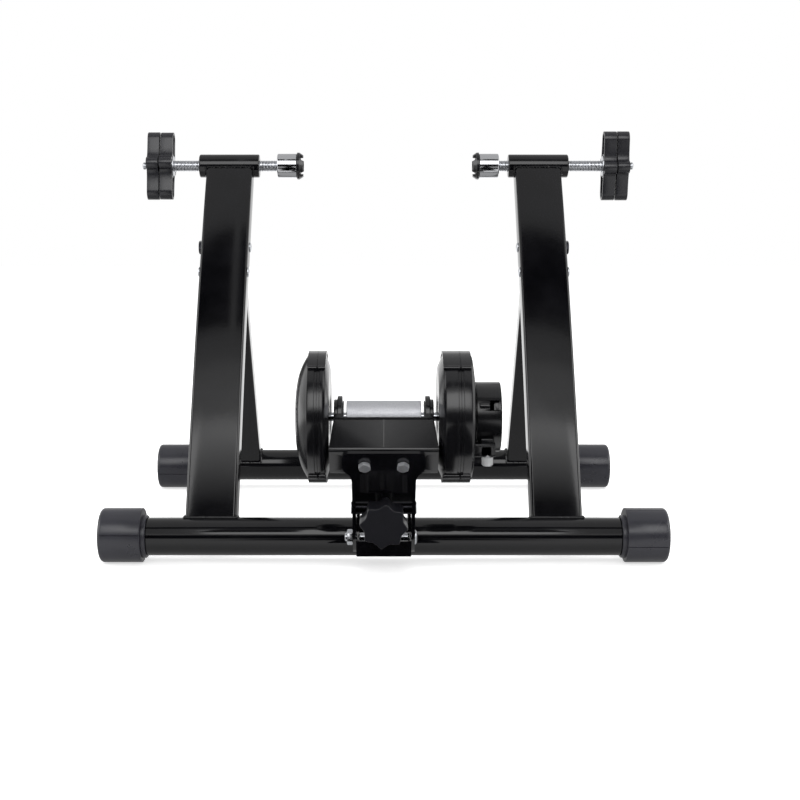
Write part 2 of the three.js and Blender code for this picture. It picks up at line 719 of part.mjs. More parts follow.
// Swing bracket: a plate under the cradle with two side plates that reach down to the pivot bolt.
const pivotPlace = inUnit(bracketPivot.x, bracketPivot.y);
const barrelPlace = inUnit(swingBarrel.x, swingBarrel.y);
const plateTop = -flangeDrop + plateThickness;
const taperStart = flangeHalfWidth - bracketHalfWidth;
const taperEnd = taperStart + flangeCorner;
const sideTop = barrelPlace.y + bracketBossRadius;
const sideStart = cradleTopHalf + plateThickness;
const sideOutline = roundedOutline([
  [taperEnd, -flangeDrop, 0],
  [taperEnd, plateTop, 0],
  [sideStart, plateTop, 0],
  [sideStart + plateThickness, sideTop, bracketBossRadius],
  [barrelPlace.x + barrelRadius, sideTop, bracketBossRadius],
  [pivotPlace.x + bracketBossRadius, pivotPlace.y + bracketBossRadius, bracketBossRadius],
  [pivotPlace.x + bracketBossRadius, pivotPlace.y - bracketBossRadius, bracketBossRadius],
  [pivotPlace.x - bracketBossRadius, pivotPlace.y - bracketBossRadius, bracketBossRadius],
  [flangeBelow, -flangeDrop, 0],
]);
const flangeOutline = roundedOutline([
  [-flangeHalfWidth, -flangeAbove, flangeCorner],
  [flangeHalfWidth, -flangeAbove, flangeCorner],
  [flangeHalfWidth, taperStart, flangeCorner],
  [bracketHalfWidth, taperEnd, flangeCorner],
  [bracketHalfWidth, flangeBelow, 0],
  [-bracketHalfWidth, flangeBelow, 0],
  [-bracketHalfWidth, taperEnd, flangeCorner],
  [-flangeHalfWidth, taperStart, flangeCorner],
]);
const cradleBoltHoles = sides.map(({ sign }) => {
  const hole = new THREE.CylinderGeometry(
    cradleBoltRadius + fit, cradleBoltRadius + fit, cradleBoltLength + fit, smallSides);
  hole.rotateX(Math.PI / 2);
  hole.translate(sign * cradleBoltSpread, 0, plateTop + (cradleBoltLength + fit) / 2 - plateThickness);
  return solidOf(hole);
});
const swingBracket = cut(
  joined(
    flatPlate(flangeOutline, -flangeDrop, plateTop),
    sidePlate(sideOutline, -bracketHalfWidth, plateThickness - bracketHalfWidth),
    sidePlate(sideOutline, bracketHalfWidth - plateThickness, bracketHalfWidth),
  ),
  bar(pivotBoltRadius + fit, -legWidth, legWidth, pivotPlace.x, pivotPlace.y, smallSides),
  bar(barrelRadius + swingBarrelSlack, -legWidth, legWidth, barrelPlace.x, barrelPlace.y, smallSides),
  ...cradleBoltHoles,
);
addPart(unit, 'swing_bracket', swingBracket, finishes.paint);

// Pivot bolt and nut, through the base bracket and the swing bracket.
const boltEnd = bracketHalfWidth + fit;
const pivotBolt = joined(
  bar(pivotBoltRadius, -boltEnd - pivotNutHeight - plateThickness, boltEnd + fit, 0, 0, smallSides),
  turned([
    [0, boltEnd],
    [pivotHeadRadius, boltEnd],
    [pivotHeadRadius / 2, boltEnd + pivotHeadHeight],
    [0, boltEnd + pivotHeadHeight],
  ], smallSides),
).translate([0, bracketPivot.x, bracketPivot.y]);
addPart(trainer, 'pivot_bolt', pivotBolt, finishes.zinc);
const pivotNut = cut(
  bar(pivotNutRadius, -boltEnd - pivotNutHeight, -boltEnd, 0, 0, hexSides),
  bar(pivotBoltRadius + fit, -boltEnd - pivotNutHeight - overrun, -boltEnd + overrun, 0, 0, smallSides),
).translate([0, bracketPivot.x, bracketPivot.y]);
addPart(trainer, 'pivot_nut', pivotNut, finishes.zinc);

// Adjuster: its frame has the screw along Y, from the swinging barrel towards the base barrel.
const adjuster = new THREE.Group();
adjuster.position.set(0, swingBarrel.x, swingBarrel.y);
adjuster.rotation.x = adjusterTilt;
trainer.add(adjuster);

function rodAlongY(radius, from, to, sideCount = smallSides) {
  const geometry = new THREE.CylinderGeometry(radius, radius, to - from, sideCount);
  geometry.translate(0, (from + to) / 2, 0);
  return solidOf(geometry);
}

addPart(adjuster, 'swing_barrel',
  cut(
    bar(barrelRadius, -bracketHalfWidth - barrelProud, bracketHalfWidth + barrelProud, 0, 0, smallSides),
    rodAlongY(adjusterRadius + fit, -legWidth, legWidth),
  ), finishes.zinc);
const baseBarrelPiece = cut(
  bar(barrelRadius, -baseHalf, baseHalf, 0, 0, smallSides),
  rodAlongY(adjusterRadius + adjusterSlack, -legWidth, legWidth),
).translate([0, barrelSpan, 0]);
addPart(adjuster, 'base_barrel', baseBarrelPiece, finishes.zinc);

// Star knob with eight points and scooped sides, moulded round the head of the adjusting screw.
const knobShape = new THREE.Shape();
const knobPoints = knobLobes * 6;
for (let i = 0; i < knobPoints; i += 1) {
  const turn = i / knobPoints * Math.PI * 2;
  const radius = knobRadius - knobLobeDepth * Math.abs(Math.sin(knobLobes / 2 * turn));
  if (i === 0) knobShape.moveTo(radius, 0);
  else knobShape.lineTo(radius * Math.cos(turn), radius * Math.sin(turn));
}
knobShape.closePath();
const knobBack = knobThickness - knobFaceReach;
const knobBody = new THREE.ExtrudeGeometry(knobShape, { depth: knobThickness, bevelEnabled: false });
knobBody.rotateX(-Math.PI / 2);
knobBody.translate(0, -knobFaceReach, 0);
const knobSocketFloor = -knobFaceReach + plateThickness;
addPart(adjuster, 'star_knob',
  cut(
    joined(solidOf(knobBody), rodAlongY(knobHubRadius, knobBack - fit, -barrelRadius - 2 * fit)),
    rodAlongY(adjusterRadius + fit, knobSocketFloor, legWidth),
  ), finishes.abs);
addPart(adjuster, 'adjuster_screw',
  rodAlongY(adjusterRadius, knobSocketFloor + fit, barrelSpan + barrelRadius + adjusterTail),
  finishes.zinc);

// Return spring round the adjusting screw: one unbroken wire of five-sided section.
function springGeometry(from, to) {
  const stepsPerTurn = 8;
  const wireSides = 5;
  const wireRadius = springWire / 2;
  const steps = springTurns * stepsPerTurn;
  const centres = [];
  const lead = springWire;
  const place = (share) => {
    const turn = share * springTurns * Math.PI * 2;
    const run = from + wireRadius + share * (to - from - springWire);
    return new THREE.Vector3(springRadius * Math.cos(turn), run, springRadius * Math.sin(turn));
  };
  const startWay = new THREE.Vector3(0, 0, -lead);
  const endWay = new THREE.Vector3(0, 0, lead);
  centres.push(place(0).add(startWay));
  for (let i = 0; i <= steps; i += 1) centres.push(place(i / steps));
  centres.push(place(1).add(endWay));
  let leastGap = Infinity;
  for (let i = 0; i < centres.length; i += 1) {
    for (let j = i + stepsPerTurn / 2; j < centres.length; j += 1) {
      leastGap = Math.min(leastGap, centres[i].distanceTo(centres[j]) - springWire);
    }
  }
  console.log(`adjuster_spring: least gap to itself ${leastGap.toFixed(2)} mm`);
  const places = [];
  centres.forEach((centre, i) => {
    const before = centres[Math.max(i - 1, 0)];
    const after = centres[Math.min(i + 1, centres.length - 1)];
    const way = after.clone().sub(before).normalize();
    const across = new THREE.Vector3(0, 1, 0).addScaledVector(way, -way.y).normalize();
    const over = way.clone().cross(across);
    for (let k = 0; k < wireSides; k += 1) {
      const turn = k / wireSides * Math.PI * 2;
      const point = centre.clone()
        .addScaledVector(across, wireRadius * Math.cos(turn))
        .addScaledVector(over, wireRadius * Math.sin(turn));
      places.push(point.x, point.y, point.z);
    }
  });
  const faces = [];
  const rings = centres.length;
  for (let i = 0; i < rings - 1; i += 1) {
    for (let k = 0; k < wireSides; k += 1) {
      const next = (k + 1) % wireSides;
      const [p, q] = [i * wireSides + k, i * wireSides + next];
      faces.push(p, q, p + wireSides, q, q + wireSides, p + wireSides);
    }
  }
  for (let k = 1; k < wireSides - 1; k += 1) {
    const last = (rings - 1) * wireSides;
    faces.push(0, k + 1, k, last, last + k, last + k + 1);
  }
  const geometry = new THREE.BufferGeometry();
  geometry.setAttribute('position', new THREE.BufferAttribute(new Float32Array(places), 3));
  geometry.setIndex(faces);
  return geometry;
}

addPart(adjuster, 'adjuster_spring',
  solidOf(springGeometry(barrelRadius + fit, barrelSpan - barrelRadius - fit)), finishes.zinc);

// Bolts that hold the cradle on the swing bracket's plate.
sides.forEach(({ name, sign }) => {
  const headBottom = -flangeDrop - fit - cradleBoltHeadHeight;
  const head = new THREE.CylinderGeometry(cradleBoltHead, cradleBoltHead, cradleBoltHeadHeight, hexSides);
  head.rotateX(Math.PI / 2);
  head.translate(0, 0, headBottom + cradleBoltHeadHeight / 2);
  const shankLength = cradleBoltLength + fit;
  const shank = new THREE.CylinderGeometry(cradleBoltRadius, cradleBoltRadius, shankLength, smallSides);
  shank.rotateX(Math.PI / 2);
  shank.translate(0, 0, -flangeDrop - 2 * fit + shankLength / 2);
  addPart(unit, `cradle_bolt_${name}`,
    joined(solidOf(head), solidOf(shank)).translate([sign * cradleBoltSpread, 0, 0]), finishes.zinc);
});

// Roller cradle: a moulded trough whose ends hold the bearing collars in saddles.
const cradleEnd = housingFace - fit;
const cradleBottom = plateTop + fit;
const troughOuter = roundedOutline([
  [-cradleBaseHalf, cradleBottom, cradleWall],
  [cradleBaseHalf, cradleBottom, cradleWall],
  [cradleTopHalf, -cradleRim, 0],
  [-cradleTopHalf, -cradleRim, 0],
]);
const troughInner = roundedOutline([
  [cradleWall - cradleBaseHalf, cradleBottom + cradleFloor, cradleWall],
  [cradleBaseHalf - cradleWall, cradleBottom + cradleFloor, cradleWall],
  [cradleTopHalf - cradleWall, -cradleRim + fit, 0],
  [cradleWall - cradleTopHalf, -cradleRim + fit, 0],
]);
const saddleOutline = roundedOutline([
  [-cradleBaseHalf, cradleBottom + cradleFloor, 0],
  [cradleBaseHalf, cradleBottom + cradleFloor, 0],
  [cradleTopHalf - cradleWall, -cradleSaddleRim, 0],
  [cradleWall - cradleTopHalf, -cradleSaddleRim, 0],
]);
const trough = cut(
  sidePlate(troughOuter, -cradleEnd, cradleEnd),
  sidePlate(troughInner, -collarFrom, collarFrom),
);
const cradle = cut(
  joined(
    trough,
    sidePlate(saddleOutline, collarFrom, collarTo),
    sidePlate(saddleOutline, -collarTo, -collarFrom),
  ),
  bar(collarRadius + fit, -legWidth, legWidth, 0, 0, fineSides),
  ...cradleBoltHoles,
);
addPart(unit, 'roller_cradle', cradle, finishes.abs);

// Roller, shaft, bearings and collars.
addPart(unit, 'roller',
  tube(rollerRadius, shaftRadius + fit, -rollerHalf, rollerHalf, fineSides), finishes.aluminium);
const flywheelStart = flywheelSeam - housingWall;
const flywheelEnd = flywheelStart + flywheelThickness;
const rotorStart = brakeRimStart + housingWall + fit;
const rotorEnd = rotorStart + rotorThickness;
addPart(unit, 'roller_shaft',
  bar(shaftRadius, -flywheelEnd - plateThickness, rotorStart + rotorHubLength, 0, 0, smallSides),
  finishes.zinc);
sides.forEach(({ name, sign }) => {
  const turn = [0, 0, sign > 0 ? 0 : 180];
  const collar = turned([
    [bearingRadius + fit, collarFrom + fit],
    [collarRadius, collarFrom + fit],
    [collarRadius, collarTo - collarLip],
    [collarRadius - collarStep, collarTo - collarLip],
    [collarRadius - collarStep, collarTo + collarLip],
    [bearingRadius + fit, collarTo + collarLip],
  ], fineSides);
  addPart(unit, `bearing_collar_${name}`, collar.rotate(turn), finishes.abs);
  addPart(unit, `bearing_${name}`,
    tube(bearingRadius, shaftRadius + fit, collarFrom + fit, collarTo, smallSides).rotate(turn),
    finishes.zinc);
});

// Wall of a housing half: the outer profile, and the inner one a wall's thickness inside it.
function innerCover(rimStart, seam) {
  const face = housingFace;
  const shoulder = housingRadius - housingHubDip;
  const dishEdge = housingRadius * dishShare;
  const hubEdge = housingHubBore * 3;
  const hub = housingHubBore * 2;
  const wall = housingWall;
  return turned([
    [housingRadius, seam],
    [housingRadius, rimStart + wall],
    [shoulder, rimStart],
    [dishEdge, face],
    [hubEdge, face],
    [hub, face + housingHubDip],
    [housingHubBore, face + housingHubDip],
    [housingHubBore, face + housingHubDip + wall],
    [hub + wall, face + housingHubDip + wall],
    [hubEdge + wall, face + wall],
    [dishEdge - wall, face + wall],
    [housingRadius - wall, rimStart + 2 * wall],
    [housingRadius - wall, seam],
  ], fineSides);
}

function outerCover(seam, rimEnd, crown, hub) {
  const shoulder = housingRadius - housingHubDip;
  const crownEdge = housingRadius * crownShare;
  const wall = housingWall;
  const rise = crown - rimEnd;
  return turned([
    [housingRadius, seam],
    [housingRadius, rimEnd - wall],
    [shoulder, rimEnd],
    [housingRadius * bulgeShare, rimEnd + rise * bulgeRiseShare],
    [crownEdge, rimEnd + rise * crownRiseShare],
    [crownEdge / 2, crown],
    [hub, crown],
    [hub, crown - wall],
    [crownEdge / 2, crown - wall],
    [housingRadius * bulgeShare - wall, rimEnd + rise * bulgeRiseShare - wall],
    [housingRadius - wall, rimEnd - 2 * wall],
    [housingRadius - wall, seam],
  ], fineSides);
}

// Raised pads on the rim, at its top and its bottom, where the two halves are clipped together.
function rimPads(from, to) {
  const pads = [0, Math.PI].map((turn) => {
    const shape = new THREE.Shape();
    const up = Math.PI / 2 + turn - unitTilt;
    shape.absarc(0, 0, housingRadius + padHeight, up - padHalfAngle, up + padHalfAngle, false);
    shape.absarc(0, 0, housingRadius - housingWall / 2, up + padHalfAngle, up - padHalfAngle, true);
    shape.closePath();
    return sidePlate(shape, from, to, 5);
  });
  return joined(...pads);
}

const flywheelInner = joined(
  innerCover(flywheelRimStart, flywheelSeam),
  rimPads(flywheelRimStart + housingWall, flywheelSeam),
);
const flywheelOuter = joined(
  outerCover(flywheelSeam + fit, flywheelRimEnd, flywheelDome, 0),
  rimPads(flywheelSeam + fit, flywheelRimEnd - housingWall),
);
addPart(unit, 'flywheel_cover_inner', flywheelInner.mirror([1, 0, 0]), finishes.abs);
addPart(unit, 'flywheel_cover_outer', flywheelOuter.mirror([1, 0, 0]), finishes.abs);
const flywheel = turned([
  [shaftRadius + fit, flywheelStart],
  [flywheelRadius, flywheelStart],
  [flywheelRadius, flywheelEnd],
  [flywheelRadius * flywheelRimShare, flywheelEnd],
  [flywheelRadius * flywheelRimShare, flywheelEnd - plateThickness],
  [rotorHubRadius, flywheelEnd - plateThickness],
  [rotorHubRadius, flywheelEnd],
  [shaftRadius + fit, flywheelEnd],
], fineSides);
addPart(unit, 'flywheel', flywheel.rotate([0, 0, 180]), finishes.castIron);

// Magnetic brake: a metal rotor on the shaft and a magnet ring that the drum pushes towards it.
const brakeInner = joined(
  innerCover(brakeRimStart, brakeSeam),
  rimPads(brakeRimStart + housingWall, brakeSeam),
);
addPart(unit, 'brake_cover_inner', brakeInner, finishes.abs);
const rotor = turned([
  [shaftRadius + fit, rotorStart],
  [rotorRadius, rotorStart],
  [rotorRadius, rotorEnd],
  [rotorHubRadius, rotorEnd],
  [rotorHubRadius, rotorStart + rotorHubLength],
  [shaftRadius + fit, rotorStart + rotorHubLength],
], fineSides);
addPart(unit, 'brake_rotor', rotor, finishes.aluminium);

const drumStart = brakeFace + fit;
const ringEnd = brakeRimEnd - housingWall - fit;
const ringStart = ringEnd - magnetRingThickness;
const magnets = [];
for (let i = 0; i < magnetCount; i += 1) {
  const turn = i / magnetCount * Math.PI * 2;
  magnets.push(bar(magnetRadius, ringStart - magnetHeight, ringStart + fit,
    magnetCircle * Math.cos(turn), magnetCircle * Math.sin(turn), smallSides));
}
const magnetRing = cut(
  joined(bar(magnetRingRadius, ringStart, ringEnd, 0, 0, fineSides), ...magnets),
  bar(spindleRadius + fit, ringStart - overrun, ringEnd + overrun, 0, 0, smallSides),
);
addPart(unit, 'magnet_ring', magnetRing, finishes.castIron);

// The lug on the brake's outer cover, upright below the drum's front, that the cable enters.
// It is drawn in the stand's upright directions and turned into the unit's frame.
const upright = [THREE.MathUtils.radToDeg(-unitTilt), 0, 0];
const lugMiddle = cableLugFrom + cableLugWidth / 2;
const inletY = -(cableLugFront + drumRadius) / 2;
const cableLug = cut(
  block(brakeFace - housingWall, cableLugFrom + cableLugWidth,
    -cableLugFront, -cableLugBack, -cableLugBottom, -cableLugTop),
  bar(drumRadius + 4 * fit, drumStart - overrun, drumEnd + overrun, 0, 0, fineSides),
);
function inletRod(radius, from, to) {
  const geometry = new THREE.CylinderGeometry(radius, radius, to - from, smallSides);
  geometry.rotateX(Math.PI / 2);
  geometry.translate(lugMiddle, inletY, (from + to) / 2);
  return solidOf(geometry);
}
const stemHole = inletRod(cableInletStem + fit, -cableLugBottom - overrun,
  -cableLugBottom + cableInletStemLength + fit);
const brakeOuter = cut(
  joined(
    outerCover(brakeSeam + fit, brakeRimEnd, brakeFace, spindleRadius + fit),
    rimPads(brakeSeam + fit, brakeRimEnd - housingWall),
    cableLug.rotate(upright),
  ),
  stemHole.rotate(upright),
);
addPart(unit, 'brake_cover_outer', brakeOuter, finishes.abs);

// Cable inlet: a pale plug with a bore for the brake cable.
const inletTop = -cableLugBottom - fit;
const inlet = cut(
  joined(
    inletRod(cableInletRadius, inletTop - cableInletLength, inletTop),
    inletRod(cableInletStem, inletTop - fit, -cableLugBottom + cableInletStemLength),
  ),
  inletRod(cableBore, inletTop - cableInletLength - overrun, 0),
);
addPart(unit, 'cable_inlet', inlet.rotate(upright), finishes.nylon);

// Resistance drum: turned by the cable, it carries the spindle that works the magnet ring.
const drumShell = turned([
  [0, drumEnd],
  [drumRadius - cupChamfer, drumEnd],
  [drumRadius, drumEnd - cupChamfer],
  [drumRadius, drumStart],
  [drumRadius - drumWall, drumStart],
  [drumRadius - drumWall, drumEnd - drumWall - drumNotchDepth],
  [drumHubRadius, drumEnd - drumWall - drumNotchDepth],
  [drumHubRadius, drumStart],
  [spindleRadius, drumStart],
  [spindleRadius, ringStart],
  [0, ringStart],
], fineSides);
const notchEnd = drumEnd - drumWall;
const drumNotch = block(notchEnd - drumNotchWidth, notchEnd,
  -drumRadius - overrun, drumNotchDepth - drumRadius, -drumNotchHeight / 2, drumNotchHeight / 2);
const notchTurn = [THREE.MathUtils.radToDeg(-drumNotchAngle), 0, 0];
const drumKey = bar(drumKeyRadius, drumStart + housingWall, notchEnd - drumNotchWidth,
  drumKeyRadius / 2 - drumRadius, 0, smallSides);
const drum = cut(
  joined(drumShell, drumKey.rotate(notchTurn).rotate(upright)),
  drumNotch.rotate(notchTurn).rotate(upright),
);
addPart(unit, 'resistance_drum', drum, finishes.abs);

// The stand is set with its origin under the middle of its outline on the floor.
const unitFront = rollerLead + housingRadius;
const rearEnd = rearTubeSetback + footRadius;
trainer.position.y = (unitFront - rearEnd) / 2;

export default trainer;
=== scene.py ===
# Folding bicycle trainer stand with two axle clamps and a magnetic roller unit.
# Metres, +Z up, the roller unit towards -Y. Lengths are written in millimetres and scaled by MM.
import math
import random

import bpy
from mathutils import Matrix, Vector


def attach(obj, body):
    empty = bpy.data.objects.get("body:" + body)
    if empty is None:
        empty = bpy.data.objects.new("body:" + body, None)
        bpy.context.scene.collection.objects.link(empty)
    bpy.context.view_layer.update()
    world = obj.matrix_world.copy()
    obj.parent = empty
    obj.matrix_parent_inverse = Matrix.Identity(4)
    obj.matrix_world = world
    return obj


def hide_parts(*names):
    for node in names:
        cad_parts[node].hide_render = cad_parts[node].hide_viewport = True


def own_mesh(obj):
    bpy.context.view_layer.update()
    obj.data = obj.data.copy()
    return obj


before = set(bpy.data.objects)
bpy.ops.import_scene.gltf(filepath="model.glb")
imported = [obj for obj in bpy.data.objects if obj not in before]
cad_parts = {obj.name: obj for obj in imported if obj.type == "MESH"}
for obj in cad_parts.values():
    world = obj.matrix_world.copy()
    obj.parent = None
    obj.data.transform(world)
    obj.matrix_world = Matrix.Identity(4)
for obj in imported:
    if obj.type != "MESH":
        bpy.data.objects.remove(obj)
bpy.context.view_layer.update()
MM = 0.001

# Camera: it stands in front of the stand at clamp height and looks down a little, so both
# ground tubes and the roller unit show one above the other.
CAMERA_DISTANCE = 1424.2
CAMERA_HEIGHT = 347.6
CAMERA_PITCH = math.radians(8.27)
PICTURE_SIDE = 800
FOCAL_PIXELS = 1362.8
MIDDLE_PIXEL = 383.8
SENSOR = 36.0
camera_data = bpy.data.cameras.new("camera")
camera_data.sensor_width = SENSOR
camera_data.lens = FOCAL_PIXELS / PICTURE_SIDE * SENSOR
camera_data.shift_x = (PICTURE_SIDE / 2 - MIDDLE_PIXEL) / PICTURE_SIDE
camera = bpy.data.objects.new("camera", camera_data)
camera.location = (0, -CAMERA_DISTANCE * MM, CAMERA_HEIGHT * MM)
camera.rotation_euler = (math.pi / 2 - CAMERA_PITCH, 0, 0)
bpy.context.scene.collection.objects.link(camera)
bpy.context.scene.camera = camera
bpy.context.scene.view_settings.view_transform = "Standard"


# Backdrop: a white sweep, lit evenly. The world is its far part, white where the camera, metal
# or glass sees it, and dimmer as a light. In reflections it falls off overhead.
def linear(hex_colour):
    """A written sRGB colour, such as "#1c1c20", as linear red, green, blue and alpha."""
    parts = [int(hex_colour[i:i + 2], 16) / 255 for i in (1, 3, 5)]
    return [p / 12.92 if p <= 0.04045 else ((p + 0.055) / 1.055) ** 2.4 for p in parts] + [1.0]


def add_node(tree, kind, settings=None, **sockets):
    """Adds a node. A setting goes on the node itself. A socket takes a value or another
    node's output, and a double underscore in its name stands for a space."""
    node = tree.nodes.new(kind)
    for key, value in (settings or {}).items():
        setattr(node, key, value)
    for key, value in sockets.items():
        name = key.replace("__", " ")
        socket = node.inputs[int(name[1:])] if name[0] == "_" else node.inputs[name]
        if isinstance(value, bpy.types.NodeSocket):
            tree.links.new(value, socket)
        else:
            socket.default_value = value
    return node


WORLD_LIGHT = 0.55
FADE_FROM = 0.28
FADE_TO = 0.6
OVERHEAD_GLOSS = 0.36
SMOOTH = {"interpolation_type": "SMOOTHSTEP"}
world = bpy.data.worlds.new("white sweep")
bpy.context.scene.world = world
world.use_nodes = True
sky = world.node_tree
sky.nodes.clear()
path = add_node(sky, "ShaderNodeLightPath")
seen = add_node(sky, "ShaderNodeMath", {"operation": "MAXIMUM"},
                _0=path.outputs["Is Camera Ray"], _1=path.outputs["Is Transmission Ray"])
direction = add_node(sky, "ShaderNodeTexCoord")
height = add_node(sky, "ShaderNodeSeparateXYZ", Vector=direction.outputs["Generated"])
falloff = add_node(sky, "ShaderNodeMapRange", SMOOTH, Value=height.outputs["Z"],
                   _1=FADE_FROM, _2=FADE_TO, _3=1.0, _4=OVERHEAD_GLOSS)
glossy = add_node(sky, "ShaderNodeMath", {"operation": "MULTIPLY"},
                  _0=path.outputs["Is Glossy Ray"], _1=falloff.outputs["Result"])
white = add_node(sky, "ShaderNodeMath", {"operation": "MAXIMUM"},
                 _0=seen.outputs["Value"], _1=glossy.outputs["Value"])
level = add_node(sky, "ShaderNodeMath", {"operation": "MAXIMUM"},
                 _0=white.outputs["Value"], _1=WORLD_LIGHT)
background = add_node(sky, "ShaderNodeBackground", Color=linear("#ffffff"),
                      Strength=level.outputs["Value"])
add_node(sky, "ShaderNodeOutputWorld", Surface=background.outputs["Background"])


# Floor: the near part of the sweep, matt white board. It keeps a soft shadow under the feet. In the
# gloss paint it shows a painted reflection: bright, with painted shade under the stand and a dark gap
# in front of the roller unit.
def new_material(name):
    """An empty node material and its tree."""
    material = bpy.data.materials.new(name)
    material.use_nodes = True
    material.node_tree.nodes.clear()
    return material, material.node_tree


FLOOR_SIDE = 12.0
FLOOR_DROP = 0.0005
FLOOR_GLOW = 0.62
AHEAD_GLOSS = 0.9
UNDER_PAINTED_SHADE = 0.42
BEHIND_GLOSS = 1.4
white_board, board = new_material("matt white board")
matt = add_node(board, "ShaderNodeBsdfDiffuse", Color=linear("#f4f4f4"))
glow = add_node(board, "ShaderNodeEmission", Color=linear("#ffffff"), Strength=FLOOR_GLOW)
path = add_node(board, "ShaderNodeLightPath")
dark = add_node(board, "ShaderNodeEmission", Color=linear("#000000"), Strength=0.0)
lit = add_node(board, "ShaderNodeMixShader", _0=path.outputs["Is Camera Ray"],
               _1=dark.outputs["Emission"], _2=glow.outputs["Emission"])
whole = add_node(board, "ShaderNodeAddShader", _0=matt.outputs["BSDF"], _1=lit.outputs["Shader"])
# In reflections the board shows a painted glow in place of its lit colour: bright ahead of the stand
# and behind it, with painted shade under it. Each edge is soft, between the two distances in metres
# that are given for it.
spot = add_node(board, "ShaderNodeTexCoord")
axes = add_node(board, "ShaderNodeSeparateXYZ", Vector=spot.outputs["Object"])
ahead = add_node(board, "ShaderNodeMapRange", SMOOTH, Value=axes.outputs["Y"],
                 _1=-0.20, _2=-0.13, _3=AHEAD_GLOSS, _4=UNDER_PAINTED_SHADE)
behind = add_node(board, "ShaderNodeMapRange", SMOOTH, Value=axes.outputs["Y"],
                  _1=0.3, _2=0.5, _3=0.0, _4=BEHIND_GLOSS)
near = add_node(board, "ShaderNodeMath", {"operation": "MAXIMUM"},
                _0=ahead.outputs["Result"], _1=behind.outputs["Result"])
# Painted shade: in reflections the board is dark in front of the roller unit, except out at the
# sides.
reach = add_node(board, "ShaderNodeMapRange", SMOOTH, Value=axes.outputs["Y"],
                 _1=-0.31, _2=-0.28, _3=0.0, _4=1.0)
aside = add_node(board, "ShaderNodeMath", {"operation": "ABSOLUTE"}, _0=axes.outputs["X"])
beside = add_node(board, "ShaderNodeMapRange", SMOOTH, Value=aside.outputs["Value"],
                  _1=0.18, _2=0.27, _3=0.0, _4=1.0)
open_floor = add_node(board, "ShaderNodeMath", {"operation": "MAXIMUM"},
                      _0=reach.outputs["Result"], _1=beside.outputs["Result"])
level = add_node(board, "ShaderNodeMath", {"operation": "MULTIPLY"},
                 _0=near.outputs["Value"], _1=open_floor.outputs["Value"])
painted_reflection = add_node(board, "ShaderNodeEmission", Color=linear("#ffffff"),
                    Strength=level.outputs["Value"])
board_look = add_node(board, "ShaderNodeMixShader", _0=path.outputs["Is Glossy Ray"],
                      _1=whole.outputs["Shader"], _2=painted_reflection.outputs["Emission"])
add_node(board, "ShaderNodeOutputMaterial", Surface=board_look.outputs["Shader"])
bpy.ops.object.select_all(action="DESELECT")
bpy.ops.mesh.primitive_plane_add(size=FLOOR_SIDE, location=(0, 0, -FLOOR_DROP))
floor = bpy.context.object
floor.name = "floor"
floor.data.materials.append(white_board)


# Lamps and flags: two wide soft boxes in front, above the camera, one on each side and one on
# top. Black flags and nets between them give the gloss paint its dark bands, as in the photograph.
LAMP_AIM = Vector((0, 0, 0.15))


def soft_box(name, place, width, depth, power):
    """A rectangular lamp, turned to the middle of the stand. Sizes in metres, power in watts."""
    data = bpy.data.lights.new(name, "AREA")
    data.shape = "RECTANGLE"
    data.size = width
    data.size_y = depth
    data.energy = power
    lamp = bpy.data.objects.new(name, data)
    lamp.location = place
    lamp.rotation_euler = (Vector(place) - LAMP_AIM).to_track_quat("Z", "Y").to_euler()
    bpy.context.scene.collection.objects.link(lamp)
    return lamp


soft_box("front soft box", (0, -2.70, 2.13), 3.0, 1.5, 36)
soft_box("upper soft box", (0, -2.10, 2.71), 3.0, 0.5, 1.8)
soft_box("left soft box", (-2.6, -0.6, 1.5), 1.6, 1.6, 22)
soft_box("right soft box", (2.6, -0.6, 1.5), 1.6, 1.6, 22)
soft_box("top soft box", (0, 0.4, 3.0), 2.4, 2.0, 40).visible_glossy = False

black_cloth, cloth = new_material("black flag cloth")
weave = add_node(cloth, "ShaderNodeBsdfDiffuse", Color=linear("#050505"))
add_node(cloth, "ShaderNodeOutputMaterial", Surface=weave.outputs["BSDF"])
# The nets thin out upwards, so the legs darken gently towards their feet. Their lower fifth is
# closed. The coordinate runs from -0.5 at the lower edge to 0.5 at the upper one.
NET_CLOSED_TO = -0.29
black_net, net = new_material("graded black net")
place = add_node(net, "ShaderNodeTexCoord")
axes = add_node(net, "ShaderNodeSeparateXYZ", Vector=place.outputs["Object"])
thin = add_node(net, "ShaderNodeMapRange", Value=axes.outputs["Y"],
                _1=NET_CLOSED_TO, _2=0.5, _3=0.0, _4=1.0)
weave = add_node(net, "ShaderNodeBsdfDiffuse", Color=linear("#050505"))
gauze = add_node(net, "ShaderNodeBsdfTransparent", Color=linear("#ffffff"))
look = add_node(net, "ShaderNodeMixShader", _0=thin.outputs["Result"],
                _1=weave.outputs["BSDF"], _2=gauze.outputs["BSDF"])
add_node(net, "ShaderNodeOutputMaterial", Surface=look.outputs["Shader"])
FACING = math.radians(90)
OVERHEAD = math.radians(26)
